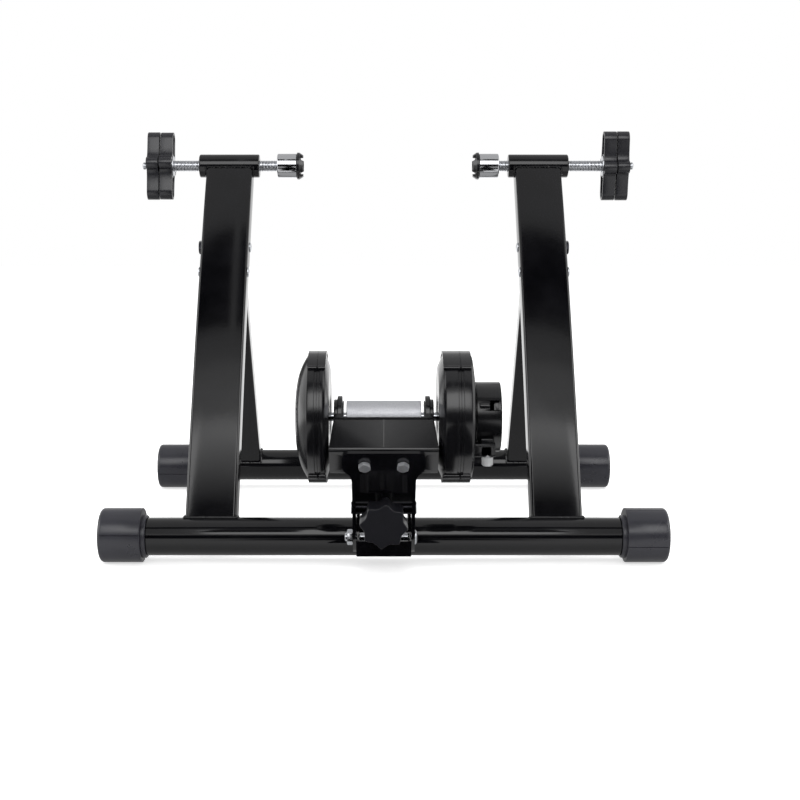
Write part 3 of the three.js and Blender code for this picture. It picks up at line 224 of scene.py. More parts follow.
for name, place, width, depth, tilt in (
        ("low flag", (0, -3.4, 0.62), 7.0, 1.3, FACING),
        ("high flag", (0.12, -1.25, 2.75), 0.56, 0.55, OVERHEAD),
        ("left high flag", (-1.095, -1.25, 2.75), 1.61, 0.55, OVERHEAD),
        ("right high flag", (1.13, -1.25, 2.75), 1.54, 0.55, OVERHEAD),
        ("left net", (-0.19, -0.30, 0.30), 0.14, 0.28, FACING),
        ("right net", (0.19, -0.30, 0.30), 0.14, 0.28, FACING),
        # The floor sheet is black and seen only in reflections: painted shade on the floor under the
        # front of the roller unit.
        ("painted floor shade", (0, -0.32, 0.0006), 0.12, 0.26, 0)):
    bpy.ops.object.select_all(action="DESELECT")
    bpy.ops.mesh.primitive_plane_add(size=1.0, location=place)
    flag = bpy.context.object
    flag.name = name
    flag.rotation_euler = (tilt, 0, 0)
    flag.scale = (width, depth, 1)
    flag.data.materials.append(black_net if "net" in name else black_cloth)
    flag.visible_camera = False
    flag.visible_diffuse = False
    flag.visible_shadow = False
    flag.visible_transmission = False


# Ground tubes: two round welded steel tubes, 37 mm across, sprayed with gloss black powder and
# baked. Their ends are open and hidden in the foot caps.
def take(piece=None):
    """Object mode, with only this piece selected, or nothing before a new piece is begun."""
    if bpy.context.object and bpy.context.object.mode != "OBJECT":
        bpy.ops.object.mode_set(mode="OBJECT")
    bpy.ops.object.select_all(action="DESELECT")
    if piece:
        piece.select_set(True)
        bpy.context.view_layer.objects.active = piece


def chain(name, points, closed=False):
    """A line through the given points: one vertex, extruded from point to point. In edit mode at the
    end.
    """
    take()
    bpy.ops.mesh.primitive_plane_add(size=MM, location=points[0])
    piece = bpy.context.object
    piece.name = name
    bpy.ops.object.transform_apply(location=True, rotation=True, scale=True)
    bpy.ops.object.mode_set(mode="EDIT")
    bpy.ops.mesh.select_mode(type="VERT")
    bpy.ops.mesh.select_all(action="SELECT")
    bpy.ops.mesh.merge(type="CENTER")
    ends = list(points) + ([points[0]] if closed else [])
    for here, there in zip(ends, ends[1:]):
        step = Vector(there) - Vector(here)
        bpy.ops.mesh.extrude_vertices_move(TRANSFORM_OT_translate={"value": step})
    bpy.ops.mesh.select_all(action="SELECT")
    if closed:
        bpy.ops.mesh.remove_doubles(threshold=1e-6)
    return piece


def modify(piece, kind, **settings):
    """Adds a modifier to the piece and applies it."""
    bpy.context.view_layer.objects.active = piece
    modifier = piece.modifiers.new(kind.lower(), kind)
    for key, value in settings.items():
        setattr(modifier, key, value)
    bpy.ops.object.modifier_apply(modifier=modifier.name)
    return piece


def rounded(piece, width, segments=2, angle=35):
    """Breaks the piece's sharp edges by a small radius, in millimetres."""
    return modify(piece, "BEVEL", width=width * MM, segments=segments, limit_method="ANGLE",
                  angle_limit=math.radians(angle), harden_normals=False)


def settle(piece, matrix=None):
    """Puts the piece in its place, in its mesh, with its faces outwards and smoothly shaded."""
    take(piece)
    if matrix is not None:
        piece.matrix_world = matrix
    bpy.ops.object.transform_apply(location=True, rotation=True, scale=True)
    bpy.ops.object.mode_set(mode="EDIT")
    bpy.ops.mesh.select_all(action="SELECT")
    bpy.ops.mesh.normals_make_consistent(inside=False)
    bpy.ops.object.mode_set(mode="OBJECT")
    bpy.ops.object.shade_smooth_by_angle(angle=math.radians(32))
    return piece


def turned(name, profile, sides=96, middle=(0, 0)):
    """A piece turned about the X axis from [x, radius] pairs, in millimetres, about the
    middle's (y, z). A profile that begins and ends on the axis is closed there."""
    points = [(x * MM, (middle[0] + radius) * MM, middle[1] * MM) for x, radius in profile]
    piece = chain(name, points)
    bpy.ops.mesh.spin(steps=sides, angle=math.tau, axis=(1, 0, 0), use_auto_merge=True,
                      center=(0, middle[0] * MM, middle[1] * MM))
    bpy.ops.mesh.select_all(action="SELECT")
    bpy.ops.mesh.remove_doubles(threshold=1e-6)
    bpy.ops.object.mode_set(mode="OBJECT")
    return piece


def handed(profile, sign):
    """The profile of the right side's piece, or with sign -1 its mirror image for the left."""
    return [(sign * x, radius) for x, radius in profile]


def ring_profile(start, end, outer, inner):
    """The closed section of a plain tube, for turning."""
    return [(start, inner), (start, outer), (end, outer), (end, inner), (start, inner)]


def dress(piece, material, body, slot, *nodes):
    """Gives a finished piece its material and its body, and hides the CAD nodes that it stands for.
    """
    piece.data.materials.clear()
    piece.data.materials.append(material)
    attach(piece, body)
    if nodes:
        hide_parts(*nodes)
    return piece


# Gloss black powder coat: a plain resin film over steel, so it is a dielectric of IOR 1.5. The
# film flows to a faint orange peel, about 3 mm from crest to crest, that softens reflections.
def powder_coat(name, roughness):
    """Sprayed and baked powder: black, with faint orange peel and a thin veil of dust."""
    material, tree = new_material(name)
    place = add_node(tree, "ShaderNodeTexCoord")
    peel = add_node(tree, "ShaderNodeTexNoise", Vector=place.outputs["Object"], Scale=330.0,
                    Detail=2.0, Roughness=0.4)
    dust = add_node(tree, "ShaderNodeTexNoise", Vector=place.outputs["Object"], Scale=24.0,
                    Detail=6.0, Roughness=0.6)
    gloss = add_node(tree, "ShaderNodeMapRange", Value=dust.outputs["Fac"],
                     _1=0.3, _2=0.7, _3=roughness * 0.85, _4=roughness * 1.3)
    bump = add_node(tree, "ShaderNodeBump", Height=peel.outputs["Fac"], Strength=0.05,
                    Distance=0.0002)
    shade = add_node(tree, "ShaderNodeMapRange", Value=dust.outputs["Fac"],
                     _1=0.35, _2=0.75, _3=0.0, _4=1.0)
    tone = add_node(tree, "ShaderNodeMix", {"data_type": "RGBA"}, Factor=shade.outputs["Result"],
                    _6=linear("#060608"), _7=linear("#0d0d10"))
    skin = add_node(tree, "ShaderNodeBsdfPrincipled", Base__Color=tone.outputs[2],
                    Roughness=gloss.outputs["Result"], IOR=1.5, Normal=bump.outputs["Normal"])
    add_node(tree, "ShaderNodeOutputMaterial", Surface=skin.outputs["BSDF"])
    return material


SIDES = {"left": -1, "right": 1}
gloss_black = powder_coat("gloss black powder coat", 0.1)
TUBE_RADIUS = 18.5
TUBE_WALL = 1.8
TUBE_END = 270.7
FRONT_TUBE = (-128.6, 25.0)
REAR_TUBE = (223.6, 27.8)
for name, middle, body in (("front_ground_tube", FRONT_TUBE, "frame"),
                           ("rear_ground_tube", REAR_TUBE, "rear_frame")):
    tube = turned("paint_" + name, ring_profile(-TUBE_END, TUBE_END, TUBE_RADIUS,
                                                TUBE_RADIUS - TUBE_WALL), 128, middle)
    rounded(tube, 0.4)
    dress(settle(tube), gloss_black, body, "paint", name)


# Foot caps: thick cups of satin dark grey PVC, moulded off centre on their tubes, so that turning
# one levels the stand. Four fine grooves run along each, and a thin lip grips the tube.
def circle_arc(middle_a, middle_b, radius, start, end, steps):
    """Points [a, b] of an arc, from one angle to another in degrees."""
    turns = [math.radians(start + (end - start) * i / steps) for i in range(steps + 1)]
    return [(middle_a + radius * math.cos(t), middle_b + radius * math.sin(t)) for t in turns]


def low_corner(x, radius, edge, steps):
    """The rounded corner of a turned piece's lower end."""
    return circle_arc(x + edge, radius - edge, edge, 180, 90, steps)


def high_corner(x, radius, edge, steps):
    """The rounded corner of a turned piece's upper end."""
    return circle_arc(x - edge, radius - edge, edge, 90, 0, steps)


def slab(name, outline, depth, place=lambda u, v, w: (w, u, v)):
    """A plate: its outline of [u, v] points, filled and extruded from depth[0] to depth[1].
    The place function puts u, v and w on the axes, in millimetres."""
    low, high = depth
    points = [tuple(c * MM for c in place(u, v, low)) for u, v in outline]
    piece = chain(name, points, closed=True)
    bpy.ops.mesh.edge_face_add()
    push = Vector(place(0, 0, high)) - Vector(place(0, 0, low))
    bpy.ops.mesh.extrude_region_move(TRANSFORM_OT_translate={"value": push * MM})
    bpy.ops.mesh.select_all(action="SELECT")
    bpy.ops.mesh.normals_make_consistent(inside=False)
    bpy.ops.object.mode_set(mode="OBJECT")
    return piece


def cut(piece, *tools, operation="DIFFERENCE"):
    """Cuts the piece by the tools, or joins them to it, and removes the tools."""
    for tool in tools:
        modify(piece, "BOOLEAN", object=tool, operation=operation, solver="EXACT")
        bpy.data.objects.remove(tool)
    return piece


def rod(radius, start, end, middle=(0, 0), sides=64):
    """A plain round tool along X."""
    return turned("rod", [(start, 0), (start, radius), (end, radius), (end, 0)], sides, middle)


def moulded_plastic(name, dark, light, roughness, grain_mm, bump_strength, ior=1.53):
    """Moulded plastic: even colour with faint flow marks, and a skin of fine grain. The grain is
    given in millimetres from crest to crest."""
    material, tree = new_material(name)
    place = add_node(tree, "ShaderNodeTexCoord")
    flow = add_node(tree, "ShaderNodeTexNoise", Vector=place.outputs["Object"], Scale=28.0,
                    Detail=5.0, Roughness=0.55)
    grain = add_node(tree, "ShaderNodeTexNoise", Vector=place.outputs["Object"],
                     Scale=1000.0 / grain_mm, Detail=3.0, Roughness=0.6)
    tone = add_node(tree, "ShaderNodeMix", {"data_type": "RGBA"}, Factor=flow.outputs["Fac"],
                    _6=linear(dark), _7=linear(light))
    gloss = add_node(tree, "ShaderNodeMapRange", Value=flow.outputs["Fac"], _1=0.3, _2=0.7,
                     _3=roughness * 0.88, _4=roughness * 1.15)
    bump = add_node(tree, "ShaderNodeBump", Height=grain.outputs["Fac"],
                    Strength=bump_strength, Distance=0.0001)
    skin = add_node(tree, "ShaderNodeBsdfPrincipled", Base__Color=tone.outputs[2],
                    Roughness=gloss.outputs["Result"], IOR=ior, Normal=bump.outputs["Normal"])
    add_node(tree, "ShaderNodeOutputMaterial", Surface=skin.outputs["BSDF"])
    return material


# Satin PVC: a soft, slightly blue dark grey. Its spark-eroded mould gives a grain of about 1 mm.
satin_pvc = moulded_plastic("satin dark grey PVC", "#24242a", "#2f2f36", 0.3, 0.9, 0.3)
HALF_WIDTH = 275.0
CAP_LENGTH = 41.0
CAP_RADIUS = 26.4
CAP_OFFSET = 1.4
CAP_EDGE = 4.0
CAP_END_WALL = 4.0
CAP_GAP = 0.3
LIP_LENGTH = 4.0
LIP_WALL = 2.0
LIP_CHIP = 0.7
GROOVE_HALF = 1.44
GROOVE_DEPTH = 0.7
cap_start = HALF_WIDTH - CAP_LENGTH
cap_bore = TUBE_RADIUS + CAP_GAP
lip_start = cap_start - LIP_LENGTH
lip_outer = cap_bore + LIP_WALL
groove_outline = [(CAP_RADIUS - GROOVE_DEPTH, 0), (CAP_RADIUS + 2, -GROOVE_HALF),
                  (CAP_RADIUS + 2, GROOVE_HALF)]
cap_profile = ([(cap_start, 0)] + low_corner(cap_start, CAP_RADIUS, 1, 3)
               + high_corner(HALF_WIDTH, CAP_RADIUS, CAP_EDGE, 6) + [(HALF_WIDTH, 0)])
lip_profile = [(lip_start, 0), (lip_start, lip_outer - LIP_CHIP), (lip_start + LIP_CHIP, lip_outer),
               (cap_start + 2, lip_outer), (cap_start + 2, 0)]
for end, middle, offset, body in (("front", FRONT_TUBE, CAP_OFFSET, "front_foot"),
                                  ("rear", REAR_TUBE, -CAP_OFFSET, "rear_foot")):
    for side, sign, groove_turn in (("left", -1, 12), ("right", 1, -13)):
        centre = (middle[0], middle[1] + offset)
        cap = turned("cap_%s_%s" % (end, side), handed(cap_profile, sign), 96, centre)
        cut(cap, turned("lip", handed(lip_profile, sign), 96, middle), operation="UNION")
        cut(cap, rod(cap_bore, sign * (cap_start - 2 * LIP_LENGTH),
                     sign * (HALF_WIDTH - CAP_END_WALL), middle, 96))
        turn = math.radians(groove_turn if end == "front" else -groove_turn)
        spot = Matrix.Translation((0, centre[0] * MM, centre[1] * MM))
        for quarter in range(4):
            tool = slab("groove", groove_outline, (sign * (cap_start - 8), sign * (HALF_WIDTH + 2)))
            tool.matrix_world = spot @ Matrix.Rotation(math.pi - turn + quarter * math.pi / 2, 4, "X")
            cut(cap, tool)
        dress(settle(cap), satin_pvc, "%s_%s" % (body, side), "rubber",
              "foot_cap_%s_%s" % (end, side))


# Front legs: bowed channels, 50 by 22 mm, roll formed from 2 mm sheet, open to the rear. Each is
# coped round the ground tube at its foot and round the clamp sleeve at its head, and welded.
LEG_WIDTH = 50.0
LEG_DEPTH = 22.0
LEG_WALL = 2.0
LEG_BEND = 3.2
LEG_BOW = 8.2
LEG_HEAD_LEAD = 10.0
LEG_MIDDLE = 168.4
FOLD_ALONG = 308.0
FOLD_BEHIND = 15.0
FOLD_BOLT_RADIUS = 4.0
STOP_ALONG = 272.5
STOP_BEHIND = 7.0
STOP_RADIUS = 3.5
SLEEVE_RADIUS = 12.6
CLAMP_AXIS = (96.3, 386.6)
WELD_GAP = 0.3
leg_foot = Vector((FRONT_TUBE[0] - 1.0, FRONT_TUBE[1] + TUBE_RADIUS))
to_sleeve = Vector(CLAMP_AXIS) - leg_foot
head_angle = math.atan2(to_sleeve.y, to_sleeve.x) + math.asin(LEG_HEAD_LEAD / to_sleeve.length)
chord_length = math.sqrt(to_sleeve.length_squared - LEG_HEAD_LEAD ** 2)
chord = Vector((math.cos(head_angle), math.sin(head_angle)))
leg_radius = chord_length ** 2 / (8 * LEG_BOW) + LEG_BOW / 2
leg_outward = Vector((-chord.y, chord.x))
leg_centre = leg_foot + chord * (chord_length / 2) + leg_outward * (LEG_BOW - leg_radius)
foot_turn = math.atan2(leg_foot.y - leg_centre.y, leg_foot.x - leg_centre.x)


def on_leg(along, behind):
    """A place on a front leg, from its distance up the face and behind it, and the face's turn."""
    turn = foot_turn - along / leg_radius
    reach = leg_radius - behind
    return leg_centre.x + reach * math.cos(turn), leg_centre.y + reach * math.sin(turn), turn


def channel_outline(half, depth, wall, bend, chip=0.35):
    """A channel's section [across, behind], with rounded folds and broken edges."""
    inner_half = half - wall
    inner_bend = max(bend - wall, 0.4)
    outside = ([(chip - half, depth), (-half, depth - chip)]
               + circle_arc(bend - half, bend, bend, 180, 270, 5))
    inside = (circle_arc(inner_bend - inner_half, wall + inner_bend, inner_bend, 270, 180, 4)
              + [(-inner_half, depth - chip), (-inner_half - chip, depth)])
    other_outside = [(-x, y) for x, y in reversed(outside)]
    other_inside = [(-x, y) for x, y in reversed(inside)]
    return outside + other_outside + other_inside + inside


fold_place = on_leg(FOLD_ALONG, FOLD_BEHIND)
stop_place = on_leg(STOP_ALONG, STOP_BEHIND)
LEG_STEPS = 48
spare = LEG_DEPTH / leg_radius
low = foot_turn + spare
sweep = chord_length / leg_radius + 2 * spare
leg_outline = channel_outline(LEG_WIDTH / 2, LEG_DEPTH, LEG_WALL, LEG_BEND)
below = [(FRONT_TUBE[0] - LEG_WIDTH, -LEG_WIDTH), (FRONT_TUBE[0] + LEG_WIDTH, -LEG_WIDTH),
         (FRONT_TUBE[0] + LEG_WIDTH, FRONT_TUBE[1]), (FRONT_TUBE[0] - LEG_WIDTH, FRONT_TUBE[1])]
beyond = leg_outward * LEG_DEPTH * 2
head = Vector(CLAMP_AXIS)
over_head = head + chord * LEG_DEPTH * 3
above = [tuple(head + beyond), tuple(head - beyond), tuple(over_head - beyond),
         tuple(over_head + beyond)]
for side, sign in SIDES.items():
    middle = sign * LEG_MIDDLE
    points = []
    for across, behind in leg_outline:
        reach = leg_radius - behind
        points.append(((middle + across) * MM, (leg_centre.x + reach * math.cos(low)) * MM,
                       (leg_centre.y + reach * math.sin(low)) * MM))
    leg = chain("leg_" + side, points, closed=True)
    bpy.ops.mesh.edge_face_add()
    bpy.ops.mesh.spin(steps=LEG_STEPS, angle=sweep, axis=(1, 0, 0),
                      center=(0, leg_centre.x * MM, leg_centre.y * MM))
    bpy.ops.mesh.select_all(action="SELECT")
    bpy.ops.mesh.normals_make_consistent(inside=False)
    bpy.ops.object.mode_set(mode="OBJECT")
    ends = (middle - LEG_WIDTH, middle + LEG_WIDTH)
    cut(leg, rod(TUBE_RADIUS + WELD_GAP, *ends, FRONT_TUBE, 128), slab("below", below, ends),
        rod(SLEEVE_RADIUS + WELD_GAP, *ends, CLAMP_AXIS, 96))
    cut(leg, slab("above", above, ends),
        rod(FOLD_BOLT_RADIUS + CAP_GAP, *ends, fold_place[:2], 32),
        rod(STOP_RADIUS + CAP_GAP, *ends, stop_place[:2], 32))
    dress(settle(leg), gloss_black, "frame", "paint", "front_leg_" + side)


# Clamp sleeves: turned steel tubes, threaded inside for the clamp screws, welded across the heads
# of the legs and painted with them.
SLEEVE_START = 136.4
SLEEVE_END = 202.0
SLEEVE_BORE = 6.3
SLEEVE_EDGE = 1.4
sleeve_profile = ([(SLEEVE_START, SLEEVE_BORE)]
                  + low_corner(SLEEVE_START, SLEEVE_RADIUS, SLEEVE_EDGE, 4)
                  + high_corner(SLEEVE_END, SLEEVE_RADIUS, SLEEVE_EDGE, 4)
                  + [(SLEEVE_END, SLEEVE_BORE), (SLEEVE_START, SLEEVE_BORE)])
for side, sign in SIDES.items():
    sleeve = turned("sleeve_" + side, handed(sleeve_profile, sign), 96, CLAMP_AXIS)
    dress(settle(sleeve), gloss_black, "frame", "paint", "clamp_sleeve_" + side)


# Weld beads: the fillets left by hand welding where legs, sleeves, brackets and tubes meet. They
# swell and thin as each small pool of steel set, and they are painted with the frame.
def drawn_wire(name, points, radius, sides=3):
    """A round wire along [x, y, z, share] points, in millimetres, with closed ends. The share
    is the part of its radius that it has there."""
    take()
    bpy.ops.curve.primitive_bezier_curve_add()
    wire = bpy.context.object
    wire.name = name
    curve = wire.data
    curve.splines.clear()
    spline = curve.splines.new("POLY")
    spline.points.add(len(points) - 1)
    for spot, (x, y, z, share) in zip(spline.points, points):
        spot.co = (x * MM, y * MM, z * MM, 1)
        spot.radius = share
    curve.dimensions = "3D"
    curve.bevel_depth = radius * MM
    curve.bevel_resolution = sides
    curve.use_fill_caps = True
    bpy.ops.object.convert(target="MESH")
    return bpy.context.object


WELD_POOL = 3.2
END_SHARE = 0.5
END_SWELL = 0.2


def weld_bead(name, points, width, seed):
    """A bead along the points, in millimetres, in pools about one pool's length apart. It
    swells from half its width at each end."""
    draw = random.Random(seed)
    dense = []
    for here, there in zip(points, points[1:]):
        here, there = Vector(here), Vector(there)
        count = max(1, round((there - here).length / (WELD_POOL / 4)))
        dense += [here.lerp(there, i / count) for i in range(count)]
    dense.append(Vector(points[-1]))
    pool, run = 1.0, 0.0
    places = []
    for i, place in enumerate(dense):
        if i:
            run += (place - dense[i - 1]).length
        if run > WELD_POOL:
            run -= WELD_POOL
            pool = draw.uniform(0.8, 1.15)
        end = min(1.0, END_SHARE + END_SWELL * min(i, len(dense) - 1 - i))
        ripple = 0.84 + 0.16 * math.sin(math.pi * run / WELD_POOL)
        places.append((*place, end * pool * ripple))
    return drawn_wire(name, places, width / 2)


def round_bead(name, tube, half, start, end, middle, seed, width=3.4):
    """A bead on a tube: round it at one edge of a leg, along the leg's face, and back."""
    tube_middle, radius = tube
    side = circle_arc(*tube_middle, radius, start, end, 8)
    near = [(middle - half, y, z) for y, z in side]
    far = [(middle + half, y, z) for y, z in reversed(side)]
    return weld_bead(name, near + far, width, seed)


BEAD_RISE = 0.5
foot_ring = (FRONT_TUBE, TUBE_RADIUS + BEAD_RISE)
head_ring = (CLAMP_AXIS, SLEEVE_RADIUS + BEAD_RISE)
for side, sign in SIDES.items():
    for end, ring, start, stop, seed in (("foot", foot_ring, 20, 94, 11),
                                         ("head", head_ring, 248, 186, 23)):
        bead = round_bead("%s_weld_%s" % (end, side), ring, LEG_WIDTH / 2 + 0.4, start, stop,
                          sign * LEG_MIDDLE, seed + sign)
        dress(settle(bead), gloss_black, "frame", "paint")


# Fold bolts: bright zinc plated steel, with a low round head on the leg's inner side and a low
# black nut outside. The rear legs turn on them. Below each, a rivet is the folded leg's stop.
def picked(piece, test):
    """In edit mode, with only those faces selected whose centre and normal pass the test."""
    take(piece)
    bpy.ops.object.mode_set(mode="EDIT")
    bpy.ops.mesh.select_mode(type="FACE")
    bpy.ops.mesh.select_all(action="DESELECT")
    bpy.ops.object.mode_set(mode="OBJECT")
    for face in piece.data.polygons:
        face.select = bool(test(face.center / MM, face.normal))
    bpy.ops.object.mode_set(mode="EDIT")
    return piece


def round_head(height, radius, steps):
    """The section [height, radius] of a round head, from its top down to its edge."""
    return [(height * x, radius * y) for x, y in circle_arc(0, 0, 1, 0, 90, steps)]


def hexagon(name, radius, start, end, middle=(0, 0), bore=0, turn=0):
    """A hexagon along X with its corners turned off at both faces, as on a nut or a bolt."""
    corners = circle_arc(*middle, radius, turn, turn + 300, 5)
    piece = slab(name, corners, (start, end))
    chip = math.copysign(0.1 * radius, end - start)
    inner = 0.86 * radius
    profile = [(start, 0), (start, inner), (start + chip, radius), (end - chip, radius),
               (end, inner), (end, 0)]
    cut(piece, turned("corners", profile, 48, middle), operation="INTERSECT")
    if bore:
        cut(piece, rod(bore, start - chip * 5, end + chip * 5, middle, 32))
    return piece


def plated_metal(name, tone_hex, roughness, streak_mm=1.2, wear=0.08):
    """Plated or bare metal: a bright skin whose gloss varies in fine streaks."""
    material, tree = new_material(name)
    place = add_node(tree, "ShaderNodeTexCoord")
    streaks = add_node(tree, "ShaderNodeTexNoise", Vector=place.outputs["Object"],
                       Scale=1000.0 / streak_mm, Detail=4.0, Roughness=0.65)
    clouds = add_node(tree, "ShaderNodeTexNoise", Vector=place.outputs["Object"], Scale=60.0,
                      Detail=4.0, Roughness=0.6)
    dull = [c * (1 - wear) for c in linear(tone_hex)[:3]] + [1.0]
    tone = add_node(tree, "ShaderNodeMix", {"data_type": "RGBA"}, Factor=clouds.outputs["Fac"],
                    _6=dull, _7=linear(tone_hex))
    gloss = add_node(tree, "ShaderNodeMapRange", Value=streaks.outputs["Fac"], _1=0.3, _2=0.7,
                     _3=roughness * 0.75, _4=roughness * 1.3)
    bump = add_node(tree, "ShaderNodeBump", Height=streaks.outputs["Fac"], Strength=0.06,
                    Distance=0.0001)
    skin = add_node(tree, "ShaderNodeBsdfPrincipled", Base__Color=tone.outputs[2], Metallic=1.0,
                    Roughness=gloss.outputs["Result"], Normal=bump.outputs["Normal"])
    add_node(tree, "ShaderNodeOutputMaterial", Surface=skin.outputs["BSDF"])
    return material


# Bright zinc plate: a slightly bluish, bright but not mirror-like metal.
bright_zinc = plated_metal("bright zinc plate", "#c6c8cc", 0.24)
# Black oxide on steel: a thin, dark, faintly oiled skin.
black_oxide = plated_metal("black oxide on steel", "#2b2b2f", 0.3, 1.5, 0.2)
INNER_WALL = LEG_MIDDLE - LEG_WIDTH / 2 - WELD_GAP
OUTER_WALL = LEG_MIDDLE + LEG_WIDTH / 2 + WELD_GAP
FOLD_HEAD_RADIUS = 5.4
FOLD_HEAD_HEIGHT = 2.0
FOLD_NUT_RADIUS = 7.5
FOLD_NUT_HEIGHT = 3.4
FOLD_PROUD = 0.2
FOLD_NUT_TURN = 12
BOLT_CHIP = 0.8
STOP_HEAD_RADIUS = 5.5
STOP_HEAD_HEIGHT = 2.0
nut_end = OUTER_WALL + FOLD_NUT_HEIGHT
tip = nut_end + FOLD_PROUD
fold_head = [(INNER_WALL - x, r) for x, r in round_head(FOLD_HEAD_HEIGHT, FOLD_HEAD_RADIUS, 8)]
bolt_profile = fold_head + [(INNER_WALL, FOLD_BOLT_RADIUS), (tip - BOLT_CHIP, FOLD_BOLT_RADIUS),
                            (tip, FOLD_BOLT_RADIUS - BOLT_CHIP), (tip, 0)]
stop_head = round_head(STOP_HEAD_HEIGHT, STOP_HEAD_RADIUS, 6)
stop_profile = ([(INNER_WALL - x, r) for x, r in stop_head]
                + [(INNER_WALL, STOP_RADIUS), (OUTER_WALL, STOP_RADIUS)]
                + [(OUTER_WALL + x, r) for x, r in reversed(stop_head)])
for side, sign in SIDES.items():
    bolt = turned("fold_bolt_piece_" + side, handed(bolt_profile, sign), 48, fold_place[:2])
    dress(settle(bolt), bright_zinc, "frame", "zinc", "fold_bolt_" + side)
    nut = hexagon("fold_nut_piece_" + side, FOLD_NUT_RADIUS, sign * OUTER_WALL, sign * nut_end,
                  fold_place[:2], FOLD_BOLT_RADIUS + CAP_GAP, FOLD_NUT_TURN)
    dress(settle(nut), black_oxide, "frame", "zinc", "fold_nut_" + side)
    rivet = turned("stop_rivet_piece_" + side, handed(stop_profile, sign), 48, stop_place[:2])
    dress(settle(rivet), bright_zinc, "frame", "zinc", "stop_rivet_" + side)


# Rear legs: straight box tubes, 37 by 22 mm, painted. Their squared heads bear inside the channels
# when the stand is open. Each turns on a pale nylon bush, and its foot is welded to the rear tube.
REAR_HALF = 18.4
REAR_DEPTH = 22.0
REAR_WALL = 1.8
REAR_CORNER = 3.0
BUSH_RADIUS = 8.0
fold_pivot = Vector(fold_place[:2])
rear_reach = Vector(REAR_TUBE) - fold_pivot
rear_length = rear_reach.length
rear_tilt = math.atan2(rear_reach.x, -rear_reach.y)
head_reach = FOLD_BEHIND - LEG_WALL - CAP_GAP
bearing = fold_place[2] - rear_tilt
half_depth = REAR_DEPTH / 2
back_top = (head_reach - math.cos(bearing) * half_depth) / math.sin(bearing)
front_turn = 180 - math.degrees(math.acos(min(1, half_depth / head_reach)))
rear_outline = ([(half_depth, -rear_length), (half_depth, back_top)]
                + circle_arc(0, 0, head_reach, math.degrees(bearing), front_turn, 16)
                + [(-half_depth, -rear_length)])
rear_place = (Matrix.Translation((0, fold_pivot.x * MM, fold_pivot.y * MM))
              @ Matrix.Rotation(rear_tilt, 4, "X"))


def box_section(half, depth, corner, steps=4):
    """A rounded rectangle [across, deep] for a box tube."""
    outline = []
    for a, b, turn in ((half - corner, depth - corner, 0), (corner - half, depth - corner, 90),
                       (corner - half, corner - depth, 180), (half - corner, corner - depth, 270)):
        outline += circle_arc(a, b, corner, turn, turn + 90, steps)
    return outline


def flat(u, v, w):
    """Puts a slab's outline on X and Y, and its depth on Z."""
    return u, v, w


def coat(node, material):
    """Gives its material to a CAD node that stays as it is."""
    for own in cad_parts[node].material_slots:
        own.material = material


# Pale nylon: off white, with a fine grain.
pale_nylon = moulded_plastic("pale natural nylon", "#c4c4bc", "#d0d0c8", 0.35, 0.6, 0.1)
rear_ring = (REAR_TUBE, TUBE_RADIUS + BEAD_RISE)
rear_outside = box_section(REAR_HALF, half_depth, REAR_CORNER)
rear_inside = box_section(REAR_HALF - REAR_WALL, half_depth - REAR_WALL, REAR_CORNER - REAR_WALL)
lean = math.degrees(rear_tilt) + 90
spread = math.degrees(math.asin(half_depth / (TUBE_RADIUS + BEAD_RISE))) + 3
for side, sign in SIDES.items():
    middle = sign * LEG_MIDDLE
    leg = slab("rear_leg_piece_" + side, [(middle + u, v) for u, v in rear_outside],
               (-rear_length, head_reach), flat)
    ends = (middle - LEG_WIDTH, middle + LEG_WIDTH)
    cut(leg, slab("side view", rear_outline, ends), operation="INTERSECT")
    cut(leg, slab("inside", [(middle + u, v) for u, v in rear_inside], (-rear_length - 9, 30), flat),
        rod(TUBE_RADIUS + WELD_GAP, *ends, (0, -rear_length), 128),
        rod(BUSH_RADIUS + CAP_GAP, *ends, (0, 0), 48))
    dress(settle(leg, rear_place), gloss_black, "rear_frame", "paint", "rear_leg_" + side)
    for end, way in (("front", 1), ("back", -1)):
        bead = round_bead("rear_%s_weld_%s" % (end, side), rear_ring, REAR_HALF + 0.3, lean,
                          lean + way * spread, middle, 31 + sign + len(end), 3.0)
        dress(settle(bead), gloss_black, "rear_frame", "paint")
    coat("fold_bush_" + side, pale_nylon)


# Clamp screws: threaded steel rods, zinc plated, 12 mm across. The inner end is riveted in the
# axle cup. The outer end goes through the hand wheel, and a groove shows near its tip.
def ridge(name, radius, wire, pitch, start, end, steps=20, sides=2):
    """The crest of a thread, or the wire of a coil: a rod wound about X at one radius."""
    count = round(abs(end - start) / pitch * steps)
    places = []
    for i in range(count + 1):
        turn = math.tau * i / steps
        run = start + (end - start) * i / count
        places.append((run, radius * math.cos(turn), radius * math.sin(turn), 1.0))
    return drawn_wire(name, places, wire, sides)


def joined(piece, other):
    """Two closed parts made one piece."""
    take(piece)
    other.select_set(True)
    bpy.ops.object.join()
    return piece


